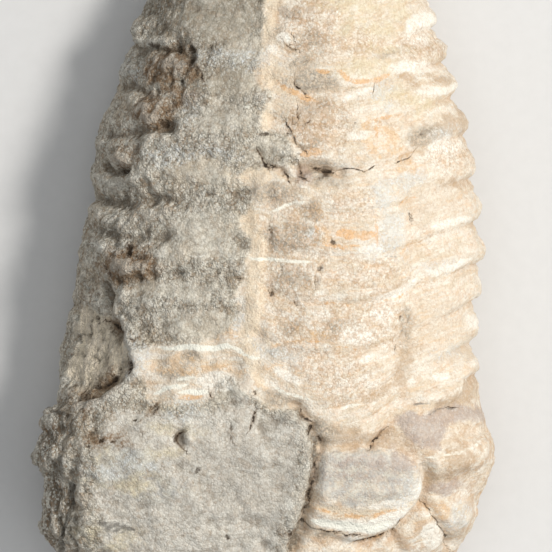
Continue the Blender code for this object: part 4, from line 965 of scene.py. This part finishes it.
def stone_mesh():
    """The stone as a ball whose points are laid onto the grid, in metres."""
    grid, fields = stone_grid()
    rows, columns = grid.shape[0] - 1, grid.shape[1]
    mesh = new_mesh("fossil", bmesh.ops.create_uvsphere, u_segments=columns, v_segments=rows, radius=1.0)
    ball = np.zeros(len(mesh.vertices) * 3)
    mesh.vertices.foreach_get("co", ball)
    ball = ball.reshape(-1, 3)
    row = np.rint(np.arccos(np.clip(ball[:, 2], -1.0, 1.0)) / np.pi * rows).astype(int)
    column = np.rint(np.arctan2(ball[:, 1], ball[:, 0]) / (2.0 * np.pi) * columns).astype(int) % columns
    mesh.vertices.foreach_set("co", (grid[row, column] * METRES).ravel())
    for name, values in fields.items():
        layer = mesh.attributes.new(name, "FLOAT", "POINT")
        layer.data.foreach_set("value", values[row, column].astype(np.float32))
    mesh.polygons.foreach_set("use_smooth", np.ones(len(mesh.polygons), bool))
    mesh.flip_normals()
    mesh.update()
    return mesh


# ---------------------------------------------------------------- material helpers
class Graph:
    """A material and short names for the shader nodes it is made of."""

    def __init__(self, name):
        self.material = bpy.data.materials.new(name)
        self.material.use_nodes = True
        self.tree = self.material.node_tree
        self.shader = self.tree.nodes["Principled BSDF"]

    def add(self, kind, inputs=(), **settings):
        """A node with its settings, and its inputs linked or set by index or name."""
        node = self.tree.nodes.new(kind)
        for key, value in settings.items():
            setattr(node, key, value)
        for key, value in dict(inputs).items():
            self.feed(node.inputs[key], value)
        return node

    def feed(self, socket, value):
        """Link a socket, or set it."""
        if isinstance(value, bpy.types.NodeSocket):
            self.tree.links.new(value, socket)
        else:
            socket.default_value = value

    def math(self, operation, a, b=0.0, c=0.0):
        """A number worked out from up to three others."""
        return self.add("ShaderNodeMath", {0: a, 1: b, 2: c}, operation=operation).outputs[0]

    def times(self, a, b):
        return self.math("MULTIPLY", a, b)

    def scaled(self, vector, scale):
        """A place or push, longer or shorter by one factor."""
        return self.add("ShaderNodeVectorMath", {0: vector, 3: scale}, operation="SCALE").outputs[0]

    def mapped(self, vector, scale=(1.0, 1.0, 1.0), move=(0.0, 0.0, 0.0)):
        """A place, stretched by a factor per axis and moved."""
        return self.add("ShaderNodeMapping", {0: vector, 1: move, 3: scale}).outputs[0]

    def blend(self, share, a, b):
        """Colour a turning into colour b."""
        return self.add("ShaderNodeMix", {0: share, 6: a, 7: b}, data_type="RGBA").outputs[2]

    def place(self):
        """The place on the object, in its own metres."""
        return self.add("ShaderNodeTexCoord").outputs["Object"]

    def noise(self, place, scale, detail=3.0, roughness=0.55):
        """Soft noise from 0 to 1."""
        settings = {"Vector": place, "Scale": scale, "Detail": detail, "Roughness": roughness}
        return self.add("ShaderNodeTexNoise", settings).outputs["Fac"]

    def grains(self, place):
        """Cells one unit across: distance from a cell's middle, and three random values per cell."""
        node = self.add("ShaderNodeTexVoronoi", {"Vector": place, "Scale": 1.0})
        split = self.add("ShaderNodeSeparateColor", {0: node.outputs["Color"]})
        return node.outputs["Distance"], split.outputs[0], split.outputs[1], split.outputs[2]

    def stored(self, name):
        """A distance that is stored on the points."""
        return self.add("ShaderNodeAttribute", attribute_name=name).outputs["Fac"]

    def steps(self, value, low, high, keep=1.0):
        """0 at low, keep at high, smooth between; high may lie below low."""
        rise = self.add("ShaderNodeMapRange", {0: value, 1: low, 2: high}, interpolation_type="SMOOTHSTEP")
        return rise.outputs[0] if keep == 1.0 else self.times(rise.outputs[0], keep)

    def between(self, share, at_none, at_full):
        """A number that goes from one value to another with a share."""
        return self.math("MULTIPLY_ADD", share, at_full - at_none, at_none)


def rgb(red, green, blue):
    """A colour given as it looks on screen, 0 to 255, as shader values."""
    linear = []
    for value in (red, green, blue):
        share = value / 255.0
        linear.append(share / 12.92 if share <= 0.04045 else ((share + 0.055) / 1.055) ** 2.4)
    return (*linear, 1.0)


# ---------------------------------------------------------------- the stone's material
SHELL_CREAM = rgb(215, 200, 177)
SHELL_PEACH = rgb(223, 194, 166)
SHELL_WHITE = rgb(240, 236, 224)
SHELL_TAN = rgb(172, 140, 108)
ROCK_LIGHT = rgb(222, 215, 199)
ROCK_DARK = rgb(128, 115, 97)
ROCK_PALE = rgb(232, 228, 216)
ROCK_BROWN = rgb(158, 132, 104)
ROCK_HOLLOW_TONE = rgb(92, 80, 64)
BROWN = rgb(128, 100, 70)
DARK_BROWN = rgb(70, 56, 42)
# tan of the line at each ring edge, partly painted shade of the ring's step; it also darkens the shell's
# hollows
SEAM = rgb(188, 156, 122)
CRACK_RIM = rgb(112, 88, 62)
# painted shade deep in the narrow cracks
CRACK_SHADE = rgb(46, 34, 24)

# Noises by name: (kind of place, per millimetre, detail, roughness).
NOISES = {
    "broad": ("place", 0.28, 3.0, 0.55),
    "middle": ("place", 0.9, 5.0, 0.62),
    "other": ("moved", 1.1, 5.0, 0.66),
    "fine": ("place", 3.6, 4.0, 0.72),
    "streaks": ("swept", 1.0, 5.0, 0.62),
    "layers": ("swept", 2.4, 3.0, 0.60),
    "drips": ("drips", 1.6, 4.0, 0.65),
}
SWEPT_STRETCH = (0.22, 1.25, 0.22)  # streaks that follow the rings
DRIP_STRETCH = (2.2, 0.42, 0.30)  # streaks that run down the wall and the scoop
OTHER_PLACE = (17.0, 5.0, 3.0)  # mm, so that the noise "other" differs from "middle"
WOBBLE = {"middle": (-0.45, 0.45), "fine": (-0.35, 0.35)}  # they add up to the noise on the stains' edges
GRAIN_PUSH = (3.0, 2.0, 0.22)  # noise that bends the grains: per mm, detail, reach in mm
SMALL_GRAINS = 5.2  # grains per millimetre
LARGE_GRAINS = 2.3
WALL_GRAINS = (3.6, 0.75, 0.55)  # the large ones where the steep wall is striped
WALL_PART = (0.3, 0.7)  # share of the wall over which the stripes take over

# A source is a noise, or (stored distance in mm, share of the wobble that shakes its edge). A coat of
# colour is (source, where it begins, where it is full, strength, noise that breaks it up or None, tone),
# and a tone is a colour, or (noise, low, high, colour at low, colour at high). Lists are in painting order.
SHELL_TONE = ("streaks", 0.42, 0.58, SHELL_CREAM, rgb(228, 219, 203))
SHELL_COATS = [
    ("middle", 0.50, 0.64, 0.42, None, SHELL_PEACH),
    ("other", 0.53, 0.64, 0.42, None, SHELL_WHITE),
    ("other", 0.45, 0.36, 0.36, None, rgb(213, 214, 208)),
    (("smooth", 2.0), -1.0, 1.0, 0.55, None, rgb(216, 201, 180)),
    ("layers", 0.55, 0.64, 0.42, None, rgb(222, 190, 152)),
    ("layers", 0.43, 0.34, 0.40, None, SHELL_WHITE),
]
FILM_TONE = ("fine", 0.42, 0.66, rgb(150, 141, 127), SHELL_CREAM)
SHELL_STAINS = [
    (("tan", 0.9), -0.26, 0.26, 0.66, ("middle", 0.24, 0.50), rgb(180, 155, 126)),
    (("film", 1.0), -0.30, 0.30, 0.92, ("middle", 0.14, 0.40), FILM_TONE),
    (("ochre", 1.3), -0.25, 0.25, 0.50, ("middle", 0.40, 0.56), rgb(224, 184, 134)),
    (("band", 0.9), -0.24, 0.24, 0.75, None, rgb(229, 212, 185)),
]
ROCK_TONE = ("middle", 0.38, 0.62, rgb(188, 183, 169), ROCK_LIGHT)
ROCK_COATS = [
    ("broad", 0.50, 0.66, 0.60, None, rgb(208, 190, 164)),
    ("other", 0.52, 0.68, 0.50, None, rgb(194, 195, 190)),
    (("smooth", 2.4), -1.0, 1.0, 0.35, None, rgb(195, 189, 174)),
    (("rock", 0.0), 3.0, 0.0, 0.50, None, rgb(214, 204, 184)),  # thin towards its edge
    # painted shade over the darker stretches of rock
    (("dull", 1.6), -1.2, 1.2, 0.66, None, rgb(140, 132, 116)),
    (("plateau", 1.2), -0.5, 0.5, 0.60, None, rgb(213, 209, 200)),
]
SLATE_TONE = ("other", 0.42, 0.58, rgb(204, 200, 187), rgb(178, 176, 170))
COATS_UNDER_GRAINS = [
    (("slate", 0.9), -0.30, 0.30, 0.88, None, SLATE_TONE),
    (("mauve", 0.9), -0.28, 0.28, 0.85, None, rgb(178, 165, 156)),
    (("cream", 1.6), -0.50, 0.50, 0.68, ("middle", 0.26, 0.52), rgb(214, 201, 168)),
    (("blue", 1.4), -0.45, 0.45, 0.62, ("middle", 0.30, 0.56), rgb(206, 208, 202)),
    (("pale", 0.6), -0.12, 0.12, 0.90, ("middle", 0.25, 0.46), SHELL_WHITE),
    (("veins", 0.44), -0.08, 0.08, 0.72, ("middle", 0.30, 0.52), rgb(224, 174, 118)),
]
# pale coat of the scoop, partly its own colour and partly painted light lifting the shade in the hollow
SCOOP_TONE = ("drips", 0.42, 0.58, rgb(246, 230, 202), rgb(222, 208, 186))
SCOOP_COATS = [
    (("scoop", 0.9), -0.30, 0.30, 0.75, None, SCOOP_TONE),
]
HOLES_AND_SPECKS = [
    (("brown", 1.4), -0.45, 0.45, 0.80, ("other", 0.56, 0.66), DARK_BROWN),
    (("blue", 1.4), -0.55, 0.55, 0.80, ("fine", 0.52, 0.64), rgb(222, 224, 222)),
]
THIN_LINES = [
    (("grey", 0.26), -0.07, 0.07, 0.76, ("middle", 0.28, 0.48), rgb(114, 110, 103)),
    (("white", 0.28), -0.08, 0.08, 0.88, None, rgb(240, 238, 224)),
]
# dark brown in the pits, partly painted shade in the holes
PIT_COATS = [
    (("pits", 0.70), -0.12, 0.10, 0.85, None, DARK_BROWN),
]
# Shares of the stone that are worked out in the same way.
ROCK_PART = (("rock", 1.4), -0.28, 0.28, 0.96)
SMOOTH_PART = (("smooth", 2.4), -1.0, 1.0)
SCOOP_PART = (("scoop", 0.7), -0.3, 0.3, 0.6)
GRAINY_PART = (("grainy", 0.9), -0.8, 0.8)
BROWN_PART = (("brown", 1.4), -0.45, 0.45, 1.0, ("middle", 0.18, 0.40))
HOLLOWS = (("hollow", 0.16), 0.06, 0.30)
CRESTS = (("hollow", 0.16), -0.06, -0.26)
BROWN_GRAIN = ("fine", 0.36, 0.58)
FLECK_STAINS = ("fine", 0.50, 0.66)
SEAM_BREAKS = ("middle", 0.44, 0.62)
WALL_STREAKS = ("drips", 0.48, 0.56, 0.40)
# Strengths, from the low end of a share to its high end.
BROWN_STRENGTH = (0.40, 0.90)
GRIT = (0.50, 0.23)  # grains on rough rock and on smooth rock
FLECKS = (0.17, 0.43)  # grains on plain shell and on speckled shell
HOLLOW_DARKENING = (0.26, 0.58)  # darkening in the hollows, on shell and on rock
CREST_PALING = (0.10, 0.32)  # paling on the crests, the same
SEAM_WOBBLE = 0.22  # the tan line along the edge of each ring, partly painted shade of the ring's step
SEAM_WIDTH = (0.13, 0.02, 0.55)  # mm from the edge: none, full, and strength
WALL_GRIT = 0.85  # strength of the grains on the steep wall
LARGE_FLECKS = 0.45  # strength of the large grains on the shell, as a share of the small ones'
# Dark, light and tinted grains and the gaps between them: where each begins and is full.
GRAIN_PARTS = [(0.34, 0.14), (0.70, 0.88), (0.80, 0.92), (0.50, 0.85)]
CRACK_RAGGED = 8.0  # how far noise moves the edge of a crack, in half widths
CRACK_EDGE = (0.7, -0.5, 0.85)  # half widths where a crack's painted shade begins and is full, and its strength
RIM_EDGE = (4.2, 0.4, 0.60)  # the same for its brown rim
STONE_ROUGHNESS = 0.86  # matt and dry
STONE_SPECULAR = 0.25
# Heights in mm on smooth and on rough stone of the fine noise, of the small grains' distance and first
# random value, and of the large grains'.
BUMPS = [(0.07, 0.17), (-0.05, -0.13), (0.03, 0.075), (-0.03, -0.17), (0.01, 0.08)]
ROUGH_INSIDE = (-0.2, 0.3)  # stone is rough inside the rock's edge and outside the smooth stretches
NOT_SMOOTH = (0.6, -0.4)
WALL_BUMP = 0.3  # mm, of the streaks on the wall
SWELL_BUMP = 0.12
CRACK_BUMP = -0.25


def value_of(g, n, source):
    """A noise, or a stored distance shaken by the wobble."""
    if source in n:
        return n[source]
    name, wobble = source
    return g.math("MULTIPLY_ADD", n["wobble"], wobble, g.stored(name))


def share_of(g, n, source, begin, full, keep=1.0, breaks=None):
    """A share that rises between two values of a source, and may be broken up by a noise."""
    share = g.steps(value_of(g, n, source), begin, full, keep)
    return g.times(share, share_of(g, n, *breaks)) if breaks else share


def toned(g, n, tone):
    """A colour as it is, or the mix of two colours by a noise."""
    if not isinstance(tone[0], str):
        return tone
    *share, first, second = tone
    return g.blend(share_of(g, n, *share), first, second)


def coated(g, n, colour, coats):
    """The colour with a list of coats over it."""
    for *share, tone in coats:
        colour = g.blend(share_of(g, n, *share), colour, toned(g, n, tone))
    return colour


def shell_colour(g, n):
    """Mottled cream shell before its grains, with a tan line at each ring, partly painted shade of the
    ring's step.
    """
    shell = coated(g, n, toned(g, n, SHELL_TONE), SHELL_COATS)
    seam = g.math("ABSOLUTE", value_of(g, n, ("seam", SEAM_WOBBLE)))
    seam = g.times(g.steps(seam, *SEAM_WIDTH), share_of(g, n, *SEAM_BREAKS))
    return coated(g, n, g.blend(seam, shell, SEAM), SHELL_STAINS)


def rock_colour(g, n):
    """Grey rock before its grains, with darker streaks down its steep wall."""
    rock = coated(g, n, toned(g, n, ROCK_TONE), ROCK_COATS)
    return g.blend(g.times(g.stored("steep"), share_of(g, n, *WALL_STREAKS)), rock, DARK_BROWN)


def speckled(g, cells, colour, share, dark, light, tint):
    """Grains over a colour: some darker, some lighter, some tinted, with dirt in the gaps."""
    gap, *randoms = cells
    for value, limits, grain in zip((*randoms, gap), GRAIN_PARTS, (dark, light, tint, dark)):
        colour = g.blend(g.times(g.steps(value, *limits), share), colour, grain)
    return colour


def grained(g, n, colour, on_rock):
    """The colour with its grains: strong on rough rock, weaker where it is smooth or shell."""
    smooth = g.math("MAXIMUM", share_of(g, n, *SMOOTH_PART), share_of(g, n, *SCOOP_PART))
    grit = g.math("MAXIMUM", g.between(smooth, *GRIT), g.times(g.stored("steep"), WALL_GRIT))
    grit = g.times(on_rock, grit)
    fleck = g.times(g.between(on_rock, 1.0, 0.0), g.between(share_of(g, n, *GRAINY_PART), *FLECKS))
    large_fleck = g.times(fleck, LARGE_FLECKS)
    colour = speckled(g, n["large"], colour, grit, ROCK_DARK, ROCK_LIGHT, ROCK_BROWN)
    colour = speckled(g, n["small"], colour, grit, ROCK_DARK, ROCK_PALE, ROCK_BROWN)
    colour = speckled(g, n["small"], colour, fleck, SHELL_TAN, SHELL_WHITE, SHELL_PEACH)
    colour = speckled(g, n["large"], colour, large_fleck, SHELL_TAN, SHELL_WHITE, SHELL_PEACH)
    return g.blend(g.times(fleck, share_of(g, n, *FLECK_STAINS)), colour, SHELL_TAN)


def darker_hollows_paler_crests(g, n, colour, on_rock):
    """Darker in the hollows and paler on the crests."""
    darkened = g.times(share_of(g, n, *HOLLOWS), g.between(on_rock, *HOLLOW_DARKENING))
    paled = g.times(share_of(g, n, *CRESTS), g.between(on_rock, *CREST_PALING))
    colour = g.blend(darkened, colour, g.blend(on_rock, SEAM, ROCK_HOLLOW_TONE))
    return g.blend(paled, colour, g.blend(on_rock, SHELL_WHITE, ROCK_PALE))


def stone_colour(g, n):
    """Colour of the stone from the noises n and the stored distances."""
    on_rock = share_of(g, n, *ROCK_PART)
    colour = g.blend(on_rock, shell_colour(g, n), rock_colour(g, n))
    colour = coated(g, n, colour, COATS_UNDER_GRAINS)
    colour = grained(g, n, colour, on_rock)
    colour = coated(g, n, colour, SCOOP_COATS)
    brown = g.between(share_of(g, n, *BROWN_GRAIN), *BROWN_STRENGTH)
    colour = g.blend(g.times(share_of(g, n, *BROWN_PART), brown), colour, BROWN)
    colour = coated(g, n, colour, HOLES_AND_SPECKS)
    colour = darker_hollows_paler_crests(g, n, colour, on_rock)
    colour = coated(g, n, colour, THIN_LINES)
    colour = g.blend(n["rim"], colour, CRACK_RIM)
    colour = coated(g, n, colour, PIT_COATS)
    return g.blend(n["crack"], colour, CRACK_SHADE)


def crack_shares(g, n):
    """Shares of the painted shade along the cracks and of their brown rims."""
    across = g.math("ABSOLUTE", g.stored("crack_across"))
    for noise in ("fine", "other"):
        across = g.math("MULTIPLY_ADD", n[noise], CRACK_RAGGED, across)
    near = g.stored("crack_near")
    shares = {}
    for name, (begin, full, keep) in (("crack", CRACK_EDGE), ("rim", RIM_EDGE)):
        shares[name] = g.times(g.steps(across, CRACK_RAGGED + begin, CRACK_RAGGED + full, keep), near)
    return shares


def grain_cells(g, place):
    """Small and large grains, the large ones striped on the steep wall."""
    scale, detail, reach = GRAIN_PUSH
    push = g.add("ShaderNodeTexNoise", {"Vector": place, "Scale": scale, "Detail": detail}).outputs["Color"]
    pushed = g.add("ShaderNodeVectorMath", {0: place, 1: g.scaled(push, reach)}, operation="ADD").outputs[0]
    wall = g.steps(g.stored("steep"), *WALL_PART)
    large = g.scaled(pushed, LARGE_GRAINS)
    stripes = g.mapped(pushed, WALL_GRAINS)
    large = g.add("ShaderNodeMix", {0: wall, 4: large, 5: stripes}, data_type="VECTOR").outputs[1]
    return {"small": g.grains(g.scaled(pushed, SMALL_GRAINS)), "large": g.grains(large)}


def stone_noises(g):
    """Every noise, grain and crack share by name."""
    place = g.scaled(g.place(), 1.0 / METRES)
    axes = g.add("ShaderNodeSeparateXYZ", {0: place}).outputs
    swept = g.add("ShaderNodeCombineXYZ", {0: axes[0], 1: g.stored("swept"), 2: axes[2]}).outputs[0]
    places = {
        "place": place,
        "moved": g.mapped(place, move=OTHER_PLACE),
        "swept": g.mapped(swept, SWEPT_STRETCH),
        "drips": g.mapped(place, DRIP_STRETCH),
    }
    n = {name: g.noise(places[kind], *settings) for name, (kind, *settings) in NOISES.items()}
    n["wobble"] = g.math("ADD", *(g.between(n[name], *limits) for name, limits in WOBBLE.items()))
    return {**n, **grain_cells(g, place), **crack_shares(g, n)}


def stone_bump(g, n):
    """Normal of the bumps that are finer than the mesh."""
    rough = g.times(g.steps(g.stored("rock"), *ROUGH_INSIDE), g.steps(g.stored("smooth"), *NOT_SMOOTH))
    height = 0.0
    for source, heights in zip((n["fine"], *n["small"][:2], *n["large"][:2]), BUMPS):
        height = g.math("MULTIPLY_ADD", source, g.between(rough, *heights), height)
    drips = g.times(n["drips"], g.stored("steep"))
    for source, tall in ((drips, WALL_BUMP), (n["middle"], SWELL_BUMP), (n["crack"], CRACK_BUMP)):
        height = g.math("MULTIPLY_ADD", source, tall, height)
    return g.add("ShaderNodeBump", {"Strength": 1.0, "Distance": METRES, "Height": height}).outputs[0]


def stone_material():
    """Cream shell and grey rock, with veins, stains and cracks from the stored distances."""
    g = Graph("fossil_stone")
    n = stone_noises(g)
    g.feed(g.shader.inputs["Base Color"], stone_colour(g, n))
    g.feed(g.shader.inputs["Normal"], stone_bump(g, n))
    g.shader.inputs["Roughness"].default_value = STONE_ROUGHNESS
    g.shader.inputs["Specular IOR Level"].default_value = STONE_SPECULAR
    return g.material


# ---------------------------------------------------------------- stage
FLOOR_SIZE = 1.2  # metres
FLOOR_GRAIN = 900.0  # per metre
FLOOR_LOW = rgb(205, 204, 202)  # pale paper, from the low to the high end of its grain
FLOOR_HIGH = rgb(211, 210, 208)
FLOOR_ROUGHNESS = 0.9
CAMERA_OVER = (0.9, -3.465)  # mm, the point the camera looks straight down at
VIEW_WIDTH = 49.68  # mm across the picture at the height of the widest line
LENS = 800.0  # mm, long enough to look nearly straight down everywhere
SENSOR = 36.0  # mm wide
CLIP = (0.01, 50.0)  # metres
# Lights: turn and rise in degrees, size in metres, power in watts.
KEY = {"turn": 22.0, "rise": 53.0, "size": 0.19, "power": 5.75, "tint": (1.0, 0.975, 0.94)}
TOP = {"turn": 120.0, "rise": 80.0, "size": 0.60, "power": 1.0, "tint": (0.95, 0.98, 1.0)}
SIDE = {"turn": -42.0, "rise": 25.0, "size": 0.40, "power": 0.95, "tint": (1.0, 0.99, 0.97)}
LIGHT_DISTANCE = 0.8  # metres, of every light
WORLD_TINT = (0.93, 0.96, 1.0, 1.0)
WORLD_STRENGTH = 0.40


def floor_material():
    """Plain pale paper."""
    g = Graph("floor_paper")
    tone = g.noise(g.place(), FLOOR_GRAIN)
    g.feed(g.shader.inputs["Base Color"], g.blend(tone, FLOOR_LOW, FLOOR_HIGH))
    g.shader.inputs["Roughness"].default_value = FLOOR_ROUGHNESS
    return g.material


def add_object(name, data):
    """A new object in the scene."""
    thing = bpy.data.objects.new(name, data)
    bpy.context.scene.collection.objects.link(thing)
    return thing


def add_floor():
    """The floor under the stone."""
    mesh = new_mesh("floor", bmesh.ops.create_grid, x_segments=1, y_segments=1, size=0.5 * FLOOR_SIZE)
    mesh.materials.append(floor_material())
    add_object("floor", mesh)


def add_light(name, turn, rise, size, power, tint):
    """A square soft light that looks at the stone; turn is from +X towards +Y, in degrees."""
    data = bpy.data.lights.new(name, "AREA")
    data.size = size
    data.energy = power
    data.color = tint
    light = add_object(name, data)
    across, up = np.radians(turn), np.radians(rise)
    towards = Vector((np.cos(across) * np.cos(up), np.sin(across) * np.cos(up), np.sin(up)))
    light.location = towards * LIGHT_DISTANCE
    light.rotation_euler = towards.to_track_quat("Z", "Y").to_euler()


def add_camera():
    """The camera straight above the back, head end at the bottom of the picture."""
    data = bpy.data.cameras.new("camera")
    data.lens = LENS
    data.sensor_width = SENSOR
    data.clip_start, data.clip_end = CLIP
    camera = add_object("camera", data)
    height = MARGIN_HEIGHT + VIEW_WIDTH * LENS / SENSOR
    camera.location = (CAMERA_OVER[0] * METRES, CAMERA_OVER[1] * METRES, height * METRES)
    bpy.context.scene.camera = camera


def add_world():
    """Even light from all round."""
    world = bpy.data.worlds.new("soft_light")
    world.use_nodes = True
    background = world.node_tree.nodes["Background"]
    background.inputs["Color"].default_value = WORLD_TINT
    background.inputs["Strength"].default_value = WORLD_STRENGTH
    bpy.context.scene.world = world


def main():
    """The dressed part on its stage."""
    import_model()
    mesh = stone_mesh()
    mesh.materials.append(stone_material())
    stone = add_object("fossil", mesh)
    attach(stone, "root")
    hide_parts(NODE)
    add_floor()
    for name, light in (("key", KEY), ("top", TOP), ("side", SIDE)):
        add_light(name, **light)
    add_world()
    add_camera()
    bpy.context.scene.view_settings.view_transform = "Standard"
    bpy.context.view_layer.update()


main()
